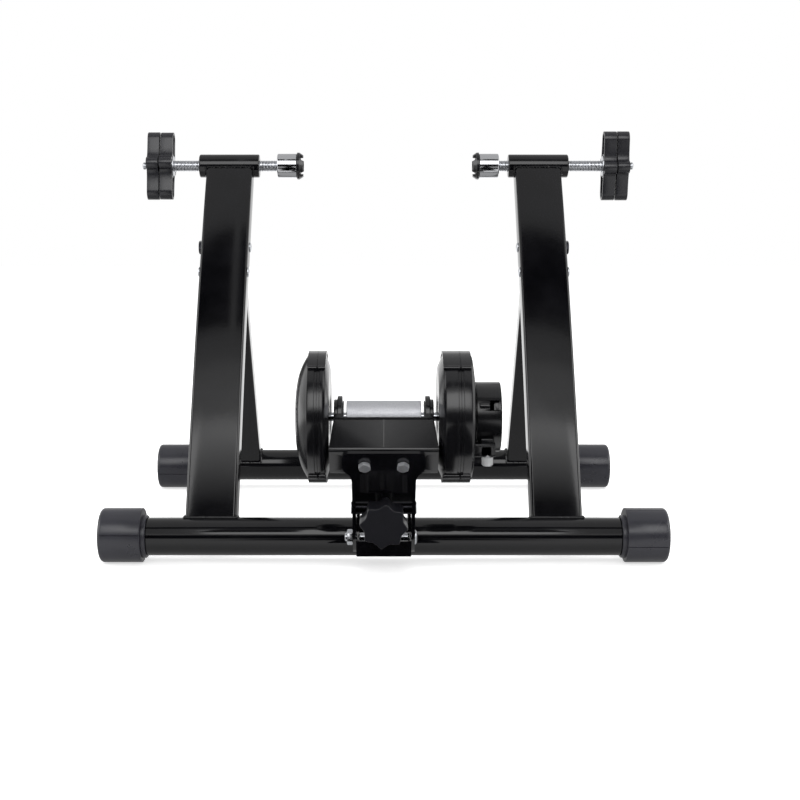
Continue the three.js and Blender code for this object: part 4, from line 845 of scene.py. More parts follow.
SCREW_RADIUS = 6.0
SCREW_NECK = 4.0
SCREW_PITCH = 1.75
THREAD_WIRE = 0.62
THREAD_CORE = 5.35
THREAD_CHIP = 0.6
THREAD_FADE = 0.8
RIVET_RADIUS = 6.0
RIVET_HEIGHT = 2.0
RIVET_CHIP = 1.4
END_GROOVE_AT = 1.4
END_GROOVE_DEPTH = 0.9
CUP_START = {"left": 95.5, "right": 104.7}
CUP_LENGTH = 21.2
CUP_FLOOR = 5.0
CUP_TO_WHEEL_END = 163.4
WHEEL_THICKNESS = 13.0
SCREW_PROUD = 6.0
at_clamp = Matrix.Translation((0, CLAMP_AXIS[0] * MM, CLAMP_AXIS[1] * MM))
for side, sign in SIDES.items():
    cup_end = CUP_START[side] + CUP_LENGTH
    wheel_end = CUP_START[side] + CUP_TO_WHEEL_END
    wheel_start = wheel_end - WHEEL_THICKNESS
    neck_start = cup_end - CUP_FLOOR - CAP_GAP
    rivet_end = neck_start - RIVET_HEIGHT
    thread_start = cup_end + CAP_GAP
    thread_end = wheel_start - CAP_GAP
    tip = wheel_end + SCREW_PROUD
    groove = wheel_end + END_GROOVE_AT
    profile = [(rivet_end, 0), (rivet_end, RIVET_RADIUS - RIVET_CHIP),
               (rivet_end + RIVET_CHIP, RIVET_RADIUS), (neck_start, RIVET_RADIUS),
               (neck_start, SCREW_NECK), (thread_start, SCREW_NECK),
               (thread_start, THREAD_CORE - THREAD_CHIP),
               (thread_start + THREAD_FADE, THREAD_CORE), (thread_end - THREAD_FADE, THREAD_CORE),
               (thread_end, THREAD_CORE - THREAD_CHIP), (thread_end, SCREW_NECK),
               (groove, SCREW_NECK), (groove + 0.5, SCREW_NECK - END_GROOVE_DEPTH),
               (groove + 1.5, SCREW_NECK - END_GROOVE_DEPTH), (groove + 2.0, SCREW_NECK),
               (tip - 1.0, SCREW_NECK), (tip, SCREW_NECK - 1.2), (tip, 0)]
    screw = turned("clamp_screw_piece_" + side, handed(profile, sign), 64)
    thread = ridge("thread", SCREW_RADIUS - THREAD_WIRE - 0.02, THREAD_WIRE, SCREW_PITCH,
                   sign * (thread_start + 1.0), sign * (thread_end - 1.0))
    dress(settle(joined(screw, thread), at_clamp), bright_zinc, "clamp_handle_" + side, "zinc",
          "clamp_screw_" + side)


# Axle cups: turned steel, polished and chromed. Each is riveted on its screw, so it stays still
# while the screw turns.
CUP_RADIUS = 13.4
CUP_BORE = 9.0
CUP_CHIP = 0.8
# Chrome plate: a near mirror. The polished steel under it keeps faint turning marks.
chrome_plate = plated_metal("polished chrome plate", "#d4d5d8", 0.12, 2.0, 0.04)
for side, sign in SIDES.items():
    start = CUP_START[side]
    end = start + CUP_LENGTH
    profile = ([(start + CUP_CHIP, CUP_BORE), (start, CUP_BORE + CUP_CHIP)]
               + low_corner(start, CUP_RADIUS, 0.6, 3) + high_corner(end, CUP_RADIUS, 1.2, 5)
               + [(end, SCREW_NECK + CAP_GAP), (end - CUP_FLOOR, SCREW_NECK + CAP_GAP),
                  (end - CUP_FLOOR, CUP_BORE), (start + CUP_CHIP, CUP_BORE)])
    cup = turned("axle_cup_piece_" + side, handed(profile, sign), 128)
    dress(settle(cup, at_clamp), chrome_plate, "clamp_" + side, "chrome", "axle_cup_" + side)


# Jaw tips: rings of gloss black ABS in front of the cups, with four notches that grip the nut of
# the wheel's axle.
TIP_LENGTH = 6.7
TIP_RADIUS = 14.7
TIP_BORE = 9.5
TIP_CHAMFER = 2.8
TIP_CHIP = 0.5
TIP_NOTCH_WIDTH = 7.0
TIP_NOTCH_DEPTH = 3.0
half = TIP_NOTCH_WIDTH / 2
notch_outline = [(-TIP_RADIUS - 3, -half), (TIP_RADIUS + 3, -half),
                 (TIP_RADIUS + 3, half), (-TIP_RADIUS - 3, half)]
# Gloss ABS: black, with the soft shine of a polished mould and the faint waviness of shrinkage.
gloss_abs = moulded_plastic("gloss black ABS", "#09090b", "#101013", 0.2, 2.5, 0.12)
for side, sign in SIDES.items():
    start = CUP_START[side] - CAP_GAP - TIP_LENGTH
    end = start + TIP_LENGTH
    profile = [(start, TIP_BORE + TIP_CHIP), (start, TIP_RADIUS - TIP_CHAMFER),
               (start + 1.5 * TIP_CHAMFER, TIP_RADIUS), (end - 0.4, TIP_RADIUS),
               (end, TIP_RADIUS - 0.4), (end, TIP_BORE), (start + TIP_CHIP, TIP_BORE),
               (start, TIP_BORE + TIP_CHIP)]
    tip = turned("jaw_tip_piece_" + side, handed(profile, sign), 96)
    for turn in (math.pi / 4, 3 * math.pi / 4):
        notch = slab("notch", notch_outline, (sign * (start - 3), sign * (start + TIP_NOTCH_DEPTH)))
        notch.matrix_world = Matrix.Rotation(turn, 4, "X")
        cut(tip, notch)
    rounded(tip, 0.25, 2, 50)
    dress(settle(tip, at_clamp), gloss_abs, "clamp_" + side, "housing", "jaw_tip_" + side)


# Hand wheels and lock wheels: moulded black handles with two long arms and two short ones. The hand
# wheel turns the screw. The lock wheel runs on its thread and is tightened against the sleeve.
def bent(start, control, end, steps=6):
    """Points of a curve from start to end that leans towards the control point."""
    points = []
    for i in range(1, steps):
        t = i / steps
        points.append(tuple((1 - t) ** 2 * a + 2 * t * (1 - t) * b + t * t * c
                            for a, b, c in zip(start, control, end)))
    return points


WHEEL_REACH = 37.55
ARM_RADIUS = 9.0
SHORT_REACH = 19.0
SHORT_RADIUS = 7.0
WHEEL_RIM = 2.6
WHEEL_DISH = 1.6
WHEEL_SOFTNESS = 1.1
HAND_BOSS = 10.0
LOCK_BOSS = 13.0
LOCK_THICKNESS = 13.5
WHEEL_GAP = 1.2
WASHER_BORE = 6.3
WASHER_RADIUS = 11.0
WASHER_THICKNESS = 1.6
WASHER_CHIP = 0.4
WASHER_SEAT = 1.3
WASHER_INSET = 1.0
long_start = WHEEL_REACH - ARM_RADIUS
short_start = SHORT_REACH - SHORT_RADIUS
waist = ARM_RADIUS + CAP_GAP
quarter = ([(ARM_RADIUS, long_start)] + circle_arc(0, long_start, ARM_RADIUS, 0, 180, 20)[1:]
           + bent((-ARM_RADIUS, long_start), (-ARM_RADIUS, waist), (-short_start, SHORT_RADIUS))
           + circle_arc(-short_start, 0, SHORT_RADIUS, 90, 270, 12)
           + bent((-short_start, -SHORT_RADIUS), (-ARM_RADIUS, -waist), (-ARM_RADIUS, -long_start)))
wheel_outline = quarter + [(-u, -v) for u, v in quarter]
satin_abs = moulded_plastic("satin black ABS", "#17171b", "#1e1e23", 0.28, 0.8, 0.3)
WHEEL_TURNS = {"left": (-13, -15), "right": (6, 8)}
for side, sign in SIDES.items():
    wheel_end = CUP_START[side] + CUP_TO_WHEEL_END
    wheel_start = wheel_end - WHEEL_THICKNESS
    lock_end = wheel_start - WHEEL_GAP
    lock_start = lock_end - LOCK_THICKNESS
    hand_turn, lock_turn = WHEEL_TURNS[side]
    for kind, start, end, outer, way, boss_radius, turn, body, bore in (
            ("hand_wheel", wheel_start, wheel_end, wheel_end, -1, HAND_BOSS, hand_turn,
             "clamp_handle_", SCREW_NECK),
            ("lock_wheel", lock_start, lock_end, lock_start, 1, LOCK_BOSS, lock_turn,
             "lock_", SCREW_RADIUS)):
        wheel = slab("%s_piece_%s" % (kind, side), wheel_outline, (sign * start, sign * end))
        picked(wheel, lambda c, n: abs(c.x - sign * outer) < 0.1 and abs(n.x) > 0.9)
        bpy.ops.mesh.inset(thickness=WHEEL_RIM * MM)
        push = (way * sign * WHEEL_DISH * MM, 0, 0)
        bpy.ops.mesh.extrude_region_move(TRANSFORM_OT_translate={"value": push})
        bpy.ops.object.mode_set(mode="OBJECT")
        boss_ends = sorted((outer + way * 0.6, outer + way * 4))
        cut(wheel, rod(boss_radius, *[sign * x for x in boss_ends]), operation="UNION")
        rounded(wheel, WHEEL_SOFTNESS, 3, 50)
        cut(wheel, rod(bore + CAP_GAP, sign * (start - 5), sign * (end + 5), (0, 0), 48))
        if kind == "lock_wheel":
            cut(wheel, rod(WASHER_RADIUS + CAP_GAP, sign * (start - 5), sign * (start + WASHER_SEAT)))
        wheel.matrix_world = at_clamp @ Matrix.Rotation(math.radians(turn), 4, "X")
        dress(settle(wheel), satin_abs, body + side, "housing", "%s_%s" % (kind, side))
    washer_end = lock_start + WASHER_INSET
    washer_start = washer_end - WASHER_THICKNESS
    profile = [(washer_start, WASHER_BORE), (washer_start, WASHER_RADIUS - WASHER_CHIP),
               (washer_start + WASHER_CHIP, WASHER_RADIUS), (washer_end, WASHER_RADIUS),
               (washer_end, WASHER_BORE), (washer_start, WASHER_BORE)]
    washer = turned("lock_washer_piece_" + side, handed(profile, sign), 64)
    dress(settle(washer, at_clamp), bright_zinc, "lock_carrier_" + side, "zinc",
          "lock_washer_" + side)


# Base bracket: two 3 mm steel plates with a folded lip across their front, welded to the front
# ground tube. It carries the pivot bolt and, above it, the threaded barrel of the adjuster.
def rounded_outline(corners, steps=6):
    """An outline of [u, v, radius] corners, each rounded by its own radius."""
    outline = []
    count = len(corners)
    for i, (u, v, radius) in enumerate(corners):
        here = Vector((u, v))
        if not radius:
            outline.append((u, v))
            continue
        before = Vector(corners[i - 1][:2]) - here
        after = Vector(corners[(i + 1) % count][:2]) - here
        start = here + before.normalized() * min(radius, before.length / 2)
        end = here + after.normalized() * min(radius, after.length / 2)
        outline += [tuple(start)] + bent(tuple(start), (u, v), tuple(end), steps) + [tuple(end)]
    return outline


PLATE = 3.0
BASE_HALF = 25.7
PIVOT = (-166.4, 33.7)
PIVOT_BOSS = 13.0
BASE_BARREL = (-148.1, 75.3)
BASE_LUG = 10.0
BARREL_RADIUS = 6.0
PIVOT_RADIUS = 4.0
LIP_RAISE = 1.2
lip_front = PIVOT[0] - PIVOT_BOSS - PLATE
lip_bottom = PIVOT[1] - PIVOT_BOSS - PLATE + LIP_RAISE
base_outline = rounded_outline([
    (FRONT_TUBE[0], FRONT_TUBE[1] + 1.2 * TUBE_RADIUS, 0),
    (BASE_BARREL[0] + BASE_LUG, BASE_BARREL[1] + BASE_LUG, BASE_LUG),
    (BASE_BARREL[0] - BASE_LUG, BASE_BARREL[1] + BASE_LUG, BASE_LUG),
    (BASE_BARREL[0] - BASE_LUG, BASE_BARREL[1] - BASE_LUG, BASE_LUG),
    (lip_front, PIVOT[1] + PLATE, BASE_LUG),
    (lip_front, lip_bottom, PLATE),
    (FRONT_TUBE[0], lip_bottom, 0)])
base = slab("base_bracket_piece", base_outline, (-BASE_HALF, PLATE - BASE_HALF))
cut(base, slab("other plate", base_outline, (BASE_HALF - PLATE, BASE_HALF)),
    slab("lip", [(lip_front, lip_bottom), (lip_front + PLATE, lip_bottom),
                 (lip_front + PLATE, PIVOT[1]), (lip_front, PIVOT[1])], (-BASE_HALF, BASE_HALF)),
    slab("bottom", [(lip_front, lip_bottom), (FRONT_TUBE[0], lip_bottom),
                    (FRONT_TUBE[0], lip_bottom + PLATE), (lip_front, lip_bottom + PLATE)],
         (-BASE_HALF, BASE_HALF)), operation="UNION")
cut(base, rod(TUBE_RADIUS + WELD_GAP, -LEG_WIDTH, LEG_WIDTH, FRONT_TUBE, 128),
    rod(PIVOT_RADIUS + CAP_GAP, -LEG_WIDTH, LEG_WIDTH, PIVOT, 32),
    rod(BARREL_RADIUS + CAP_GAP, -LEG_WIDTH, LEG_WIDTH, BASE_BARREL, 48))
rounded(base, 0.5, 2, 60)
dress(settle(base), gloss_black, "frame", "paint", "base_bracket")
arc = circle_arc(*FRONT_TUBE, TUBE_RADIUS + BEAD_RISE, 96, 196, 14)
for side, sign in SIDES.items():
    line = [(sign * (BASE_HALF + 0.6), y, z) for y, z in arc]
    bead = weld_bead("bracket_weld_" + side, line, 2.8, 47 + sign)
    dress(settle(bead), gloss_black, "frame", "paint")


# Swing bracket: a folded steel plate that the cradle is bolted to. Behind the cradle it steps up
# into a web. Its two side plates reach down past the ground tube to the pivot bolt, and hold the
# adjuster's swinging barrel between them.
ROLLER_AXIS = (-191.5, 153.0)
unit_tilt = -math.atan2(CLAMP_AXIS[0] - ROLLER_AXIS[0], CLAMP_AXIS[1] - ROLLER_AXIS[1])
at_roller = Matrix.Translation((0, ROLLER_AXIS[0] * MM, ROLLER_AXIS[1] * MM))
at_unit = at_roller @ Matrix.Rotation(unit_tilt, 4, "X")
turn_up = Matrix.Rotation(-math.pi / 2, 4, "Y")


def in_unit(y, z):
    """A place of the stand, seen from the roller unit's own frame."""
    seen_place = at_unit.inverted() @ Vector((0, y * MM, z * MM))
    return seen_place.y / MM, seen_place.z / MM


def at_cradle_bolt(sign):
    """The axis of one of the cradle's two bolts, upright in the roller unit's frame."""
    return Matrix.Translation((sign * CRADLE_BOLT_SPREAD * MM, 0, 0)) @ turn_up


def drill_for_bolts(piece, top):
    """Drills the piece for both bolts of the cradle, from under the bracket up to the top."""
    for sign in SIDES.values():
        hole = rod(CRADLE_BOLT_RADIUS + CAP_GAP, PLATE_FACE - 5, top, (0, 0), 32)
        hole.matrix_world = at_cradle_bolt(sign)
        cut(piece, hole)


SWING_BARREL = (-187.387, 66.908)
BRACKET_HALF = 29.0
PLATE_FACE = -58.0
PLATE_HALF = 37.1
PLATE_ABOVE = 16.0
PLATE_BELOW = 38.7
PLATE_CORNER = 8.0
CRADLE_BASE_HALF = 16.3
CRADLE_TOP_HALF = 22.9
CRADLE_BOLT_SPREAD = 17.1
CRADLE_BOLT_RADIUS = 3.0
WEB_LAP = 6.0
WEB_SINK = 0.6
WEB_END = 55.0
plate_top = PLATE_FACE + PLATE
taper_start = PLATE_HALF - BRACKET_HALF
taper_end = taper_start + PLATE_CORNER
pivot_place = in_unit(*PIVOT)
barrel_place = in_unit(*SWING_BARREL)
side_top = barrel_place[1] + PIVOT_BOSS
side_start = CRADLE_TOP_HALF + PLATE
side_outline = rounded_outline([
    (taper_end, PLATE_FACE, 0), (taper_end, plate_top, 0), (side_start, plate_top, 0),
    (side_start + PLATE, side_top, PIVOT_BOSS),
    (barrel_place[0] + BARREL_RADIUS, side_top, PIVOT_BOSS),
    (pivot_place[0] + PIVOT_BOSS, pivot_place[1] + PIVOT_BOSS, PIVOT_BOSS),
    (pivot_place[0] + PIVOT_BOSS, pivot_place[1] - PIVOT_BOSS, PIVOT_BOSS),
    (pivot_place[0] - PIVOT_BOSS, pivot_place[1] - PIVOT_BOSS, PIVOT_BOSS),
    (PLATE_BELOW, PLATE_FACE, 0)])
plate_outline = rounded_outline([
    (-PLATE_HALF, -PLATE_ABOVE, PLATE_CORNER), (PLATE_HALF, -PLATE_ABOVE, PLATE_CORNER),
    (PLATE_HALF, taper_start, PLATE_CORNER), (BRACKET_HALF, taper_end, PLATE_CORNER),
    (BRACKET_HALF, PLATE_BELOW, 0), (-BRACKET_HALF, PLATE_BELOW, 0),
    (-BRACKET_HALF, taper_end, PLATE_CORNER), (-PLATE_HALF, taper_start, PLATE_CORNER)])
web_half = BRACKET_HALF - 1
web_start = PLATE_BELOW - WEB_LAP
bracket = slab("swing_bracket_piece", plate_outline, (PLATE_FACE, plate_top), flat)
cut(bracket, slab("left plate", side_outline, (-BRACKET_HALF, PLATE - BRACKET_HALF)),
    slab("right plate", side_outline, (BRACKET_HALF - PLATE, BRACKET_HALF)),
    slab("stepped web", [(-web_half, web_start), (web_half, web_start), (web_half, WEB_END),
                         (-web_half, WEB_END)],
         (plate_top - WEB_SINK, plate_top + PLATE - WEB_SINK), flat), operation="UNION")
cut(bracket, rod(PIVOT_RADIUS + CAP_GAP, -LEG_WIDTH, LEG_WIDTH, pivot_place, 32),
    rod(BARREL_RADIUS + 0.6, -LEG_WIDTH, LEG_WIDTH, barrel_place, 48))
drill_for_bolts(bracket, plate_top + 5)
rounded(bracket, 0.6, 2, 60)
dress(settle(bracket, at_unit), gloss_black, "roller_unit", "paint", "swing_bracket")


# Pivot bolt, its nut, and the two bolts of the cradle: zinc plated steel. The swing bracket turns
# on the round-headed pivot bolt. The cradle bolts have rolled hexagon heads, under the bracket.
PIVOT_HEAD = 7.0
PIVOT_HEAD_HEIGHT = 3.0
PIVOT_NUT = 7.5
PIVOT_NUT_HEIGHT = 5.5
PIVOT_NUT_TURN = 20
PIVOT_PROUD = 2.0
FINE_PITCH = 1.25
bolt_end = BRACKET_HALF + CAP_GAP
nut_end = bolt_end + PIVOT_NUT_HEIGHT
tip = -(nut_end + PIVOT_PROUD)
profile = [(tip, 0), (tip, PIVOT_RADIUS - BOLT_CHIP), (tip + BOLT_CHIP, PIVOT_RADIUS),
           (bolt_end, PIVOT_RADIUS)]
profile += [(bolt_end + x, r) for x, r in reversed(round_head(PIVOT_HEAD_HEIGHT, PIVOT_HEAD, 8))]
bolt = turned("pivot_bolt_piece", profile, 64, PIVOT)
stub = ridge("stub thread", PIVOT_RADIUS - 0.42, 0.44, FINE_PITCH, tip + 1.0, 1.0 - nut_end)
take(stub)
stub.matrix_world = Matrix.Translation((0, PIVOT[0] * MM, PIVOT[1] * MM))
bpy.ops.object.transform_apply(location=True, rotation=True, scale=True)
dress(settle(joined(bolt, stub)), bright_zinc, "frame", "zinc", "pivot_bolt")
nut = hexagon("pivot_nut_piece", PIVOT_NUT, -nut_end, -bolt_end, PIVOT, PIVOT_RADIUS + CAP_GAP,
              PIVOT_NUT_TURN)
dress(settle(nut), bright_zinc, "frame", "zinc", "pivot_nut")
CRADLE_BOLT_HEAD = 5.7
CRADLE_BOLT_HEAD_HEIGHT = 4.0
CRADLE_BOLT_LENGTH = 12.0
# Satin zinc plate: rolled bolt heads scatter the light more than the turned pivot bolt. Its tone,
# lighter than the bright zinc, is painted light on these heads under the bracket.
satin_zinc_painted_light = plated_metal("satin zinc plate, painted lighter", "#dcdee2", 0.55)
head_top = PLATE_FACE - CAP_GAP
head_low = head_top - CRADLE_BOLT_HEAD_HEIGHT
shank_end = head_top + CRADLE_BOLT_LENGTH
for side, sign in SIDES.items():
    bolt = hexagon("cradle_bolt_piece_" + side, CRADLE_BOLT_HEAD, head_low, head_top, turn=10 * sign)
    cut(bolt, rod(CRADLE_BOLT_RADIUS, head_top - 0.4, shank_end, (0, 0), 32), operation="UNION")
    dress(settle(bolt, at_unit @ at_cradle_bolt(sign)), satin_zinc_painted_light, "roller_unit", "zinc",
          "cradle_bolt_" + side)


# Adjuster: a long zinc plated screw with a moulded star knob. It turns in the swinging barrel,
# runs through the base barrel's thread, and presses the roller on the tyre against its spring.
def pin_profile(start, end, radius, chip):
    """The section of a round pin with chamfered ends, for turning."""
    return [(start, 0), (start, radius - chip), (start + chip, radius), (end - chip, radius),
            (end, radius - chip), (end, 0)]


adjuster_turn = math.atan2(BASE_BARREL[1] - SWING_BARREL[1], BASE_BARREL[0] - SWING_BARREL[0])
barrel_span = math.dist(BASE_BARREL, SWING_BARREL)
at_adjuster = (Matrix.Translation((0, SWING_BARREL[0] * MM, SWING_BARREL[1] * MM))
               @ Matrix.Rotation(adjuster_turn, 4, "X"))
along_screw = at_adjuster @ Matrix.Rotation(math.pi / 2, 4, "Z")
ADJUSTER_RADIUS = 4.0
BARREL_CHIP = 0.7
UNSHADED_END = 1.8
for name, half, bore, run, body in (
        ("swing_barrel", BRACKET_HALF + 1.5, ADJUSTER_RADIUS + 0.3, 0, "adjuster_yoke"),
        ("base_barrel", BASE_HALF, ADJUSTER_RADIUS + 0.8, barrel_span, "adjuster_base")):
    barrel = turned(name + "_piece", pin_profile(-half, half, BARREL_RADIUS, BARREL_CHIP), 64)
    cross = rod(bore, -2 * BARREL_RADIUS, 2 * BARREL_RADIUS, (0, 0), 32)
    cross.matrix_world = Matrix.Rotation(math.pi / 2, 4, "Z")
    cut(barrel, cross)
    place = at_adjuster @ Matrix.Translation((0, run * MM, 0))
    # Each barrel is bright zinc, but only its ends, in and beyond the plates, show it. Between the
    # plates it takes the dark black oxide colour as painted shade.
    dress(settle(barrel, place), black_oxide, body, "zinc", name)
    barrel.data.materials.append(bright_zinc)
    for face in barrel.data.polygons:
        face.material_index = int(abs(face.center.x) / MM > half - UNSHADED_END)

KNOB_RADIUS = 22.0
KNOB_LOBES = 8
KNOB_LOBE_DEPTH = 3.5
KNOB_THICKNESS = 18.3
KNOB_FACE = -42.2
KNOB_HUB = 8.0
KNOB_TURN = math.radians(6)
KNOB_RIM = 1.6
TIP_SHARE = 0.2
knob_outline = []
for i in range(KNOB_LOBES * 12):
    turn = math.tau * i / (KNOB_LOBES * 12)
    swell = math.hypot(math.sin(KNOB_LOBES / 2 * turn), TIP_SHARE) - TIP_SHARE
    radius = KNOB_RADIUS - KNOB_LOBE_DEPTH * swell / (math.hypot(1, TIP_SHARE) - TIP_SHARE)
    knob_outline.append((radius * math.cos(turn + KNOB_TURN), radius * math.sin(turn + KNOB_TURN)))
knob = slab("star_knob_piece", knob_outline, (KNOB_FACE, KNOB_FACE + KNOB_THICKNESS))
picked(knob, lambda c, n: abs(c.x - KNOB_FACE) < 0.1 and abs(n.x) > 0.9)
bpy.ops.mesh.inset(thickness=KNOB_RIM * MM)
bpy.ops.object.mode_set(mode="OBJECT")
rounded(knob, 0.7, 3, 50)
knob_back = KNOB_FACE + KNOB_THICKNESS
hub_end = -BARREL_RADIUS - 0.6
hub = turned("hub", [(knob_back - 2, 0), (knob_back - 2, KNOB_HUB + 1.5), (knob_back + 3, KNOB_HUB),
                     (hub_end, KNOB_HUB - 0.6), (hub_end, 0)], 64)
cut(knob, hub, operation="UNION")
cut(knob, rod(ADJUSTER_RADIUS + 0.3, KNOB_FACE + PLATE, 10, (0, 0), 48))
dress(settle(knob, along_screw), satin_abs, "adjuster", "housing", "star_knob")

SCREW_CORE = 3.5
screw_start = KNOB_FACE + PLATE + CAP_GAP
screw_end = barrel_span + BARREL_RADIUS + 12
core = turned("adjuster_screw_piece", [(screw_start, 0), (screw_start, SCREW_CORE),
                                       (screw_end - 1, SCREW_CORE), (screw_end, SCREW_CORE - 0.9),
                                       (screw_end, 0)], 48)
thread = ridge("thread", SCREW_CORE + 0.02, 0.46, FINE_PITCH, -12.0, screw_end - 1.2)
dress(settle(joined(core, thread), along_screw), bright_zinc, "adjuster", "zinc", "adjuster_screw")
SPRING_RADIUS = 7.2
SPRING_WIRE = 1.5
SPRING_TURNS = 6
spring_start = BARREL_RADIUS + CAP_GAP + SPRING_WIRE / 2
spring_end = barrel_span - BARREL_RADIUS - CAP_GAP - SPRING_WIRE / 2
spring = ridge("adjuster_spring_piece", SPRING_RADIUS, SPRING_WIRE / 2,
               (spring_end - spring_start) / SPRING_TURNS, spring_start, spring_end, 32, 4)
dress(settle(spring, along_screw), bright_zinc, "adjuster_base", "zinc", "adjuster_spring")
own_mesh(spring)


# Roller cradle: a trough moulded in gloss black ABS, bolted on the swing bracket. A rim overhangs
# its walls, the mould's parting line runs down its front, and its ends narrow upwards.
COLLAR_FROM = 36.1
COLLAR_TO = 43.8
COLLAR_RADIUS = 19.2
CRADLE_END = 48.5
CRADLE_TOP_END = 44.6
CRADLE_RIM = 21.6
SADDLE_RIM = 14.2
CRADLE_FLOOR = 6.0
CRADLE_CORNER = 3.0
SEAM_RISE = 0.35
cradle_bottom = plate_top + CAP_GAP
inside_bottom = cradle_bottom + CRADLE_FLOOR


def trough_outline(inset, bottom, rim, corner):
    """The trough's section [y, z], with its lower corners rounded."""
    low = CRADLE_BASE_HALF - inset
    high = CRADLE_TOP_HALF - inset
    return rounded_outline([(-low, bottom, corner), (low, bottom, corner),
                            (high, rim, 0), (-high, rim, 0)])


cradle = slab("roller_cradle_piece", trough_outline(0, cradle_bottom, -CRADLE_RIM, CRADLE_CORNER),
              (-CRADLE_END, CRADLE_END))
cut(cradle, slab("inside", trough_outline(PLATE, inside_bottom, CAP_GAP - CRADLE_RIM, CRADLE_CORNER),
                 (-COLLAR_FROM, COLLAR_FROM)))
saddle_outline = trough_outline(PLATE - 0.4, inside_bottom - 0.5, -SADDLE_RIM, 0)
seam_low = cradle_bottom + CRADLE_CORNER
low = Vector((CRADLE_END, seam_low))
high = Vector((CRADLE_TOP_END, -CRADLE_RIM))
up = (high - low) * 0.5
slant = [tuple(low - up * 0.12), tuple(high + up), (CRADLE_END + 9, high.y + up.y),
         (CRADLE_END + 9, low.y - up.y * 0.12)]
for sign in (-1, 1):
    cut(cradle, slab("slanted end", slant, (-LEG_WIDTH, LEG_WIDTH), lambda a, b, c: (sign * a, c, b)))
    cut(cradle, slab("saddle", saddle_outline, (sign * (COLLAR_FROM - 0.1), sign * COLLAR_TO)),
        operation="UNION")
    within = sign * (CRADLE_TOP_HALF - 1.5)
    beyond = sign * (CRADLE_TOP_HALF + 1.1)
    cut(cradle, slab("rim", [(within, -CRADLE_RIM - 2.4), (beyond, -CRADLE_RIM - 2.0),
                             (beyond, -CRADLE_RIM - 0.4), (within, -CRADLE_RIM - 0.4)],
                     (0.9 - CRADLE_TOP_END, CRADLE_TOP_END - 0.9)), operation="UNION")
slope = (CRADLE_TOP_HALF - CRADLE_BASE_HALF) / (-CRADLE_RIM - cradle_bottom)
for face in (-1, 1):
    low = face * (CRADLE_BASE_HALF + slope * CRADLE_CORNER)
    high = face * CRADLE_TOP_HALF
    line = [(low - face, seam_low), (low + face * SEAM_RISE, seam_low),
            (high + face * SEAM_RISE, -CRADLE_RIM - 1), (high - face, -CRADLE_RIM - 1)]
    cut(cradle, slab("parting line", line, (-SEAM_RISE, SEAM_RISE)), operation="UNION")
cut(cradle, rod(COLLAR_RADIUS + CAP_GAP, -LEG_WIDTH, LEG_WIDTH, (0, 0), 128))
drill_for_bolts(cradle, PLATE_FACE + CRADLE_BOLT_LENGTH - 0.4)
rounded(cradle, 0.3, 2, 55)
dress(settle(cradle, at_unit), gloss_abs, "roller_unit", "housing", "roller_cradle")


# Roller, shaft and bearings: the roller is a turned aluminium sleeve on a ground steel shaft. Two
# ball bearings carry the shaft, each held in a stepped plastic collar that sits in the cradle.
def turned_metal(name, tone_hex, roughness, mark_mm, bump_strength):
    """Turned metal: fine rings about the X axis, and a surface mottled by use."""
    material, tree = new_material(name)
    place = add_node(tree, "ShaderNodeTexCoord")
    flat_marks = add_node(tree, "ShaderNodeMapping", Vector=place.outputs["Object"],
                          Scale=(1.0, 0.03, 0.03))
    marks = add_node(tree, "ShaderNodeTexNoise", Vector=flat_marks.outputs["Vector"],
                     Scale=1000.0 / mark_mm, Detail=2.0, Roughness=0.5)
    mottle = add_node(tree, "ShaderNodeTexNoise", Vector=place.outputs["Object"], Scale=900.0,
                      Detail=3.0, Roughness=0.7)
    both = add_node(tree, "ShaderNodeMath", {"operation": "ADD"}, _0=marks.outputs["Fac"],
                    _1=mottle.outputs["Fac"])
    gloss = add_node(tree, "ShaderNodeMapRange", Value=mottle.outputs["Fac"], _1=0.3, _2=0.7,
                     _3=roughness * 0.7, _4=roughness * 1.4)
    bump = add_node(tree, "ShaderNodeBump", Height=both.outputs["Value"],
                    Strength=bump_strength, Distance=0.0001)
    skin = add_node(tree, "ShaderNodeBsdfPrincipled", Base__Color=linear(tone_hex), Metallic=1.0,
                    Roughness=gloss.outputs["Result"], Normal=bump.outputs["Normal"])
    add_node(tree, "ShaderNodeOutputMaterial", Surface=skin.outputs["BSDF"])
    return material


# Turned aluminium: pale grey, with turning rings about 0.4 mm apart and a mottled wear.
turned_aluminium = turned_metal("turned aluminium", "#dcdde1", 0.6, 0.4, 0.35)
# Ground steel: a little darker and much smoother than the roller.
ground_steel = turned_metal("ground steel", "#b9bbc0", 0.14, 0.3, 0.08)
# Grey cast iron: machined, dull and dark.
cast_iron = plated_metal("machined grey cast iron", "#6d6d70", 0.45, 1.6, 0.2)
ROLLER_RADIUS = 14.8
ROLLER_HALF = 34.0
SHAFT_RADIUS = 4.0
BEARING_RADIUS = 11.0
COLLAR_STEP = 3.2
COLLAR_LIP = 1.6
COLLAR_EDGE = 0.8
COLLAR_LEDGE = 1.2
SHAFT_ENDS = (-69.8, 62.4)
ROLLER_CHIP = 0.5
bore = SHAFT_RADIUS + CAP_GAP
profile = [(-ROLLER_HALF, bore), (-ROLLER_HALF, ROLLER_RADIUS - ROLLER_CHIP),
           (ROLLER_CHIP - ROLLER_HALF, ROLLER_RADIUS), (ROLLER_HALF - ROLLER_CHIP, ROLLER_RADIUS),
           (ROLLER_HALF, ROLLER_RADIUS - ROLLER_CHIP), (ROLLER_HALF, bore), (-ROLLER_HALF, bore)]
dress(settle(turned("roller_piece", profile, 160), at_unit), turned_aluminium, "roller_set",
      "aluminium", "roller")
shaft = turned("roller_shaft_piece", pin_profile(*SHAFT_ENDS, SHAFT_RADIUS, 0.6), 64)
dress(settle(shaft, at_unit), ground_steel, "roller_set", "zinc", "roller_shaft")
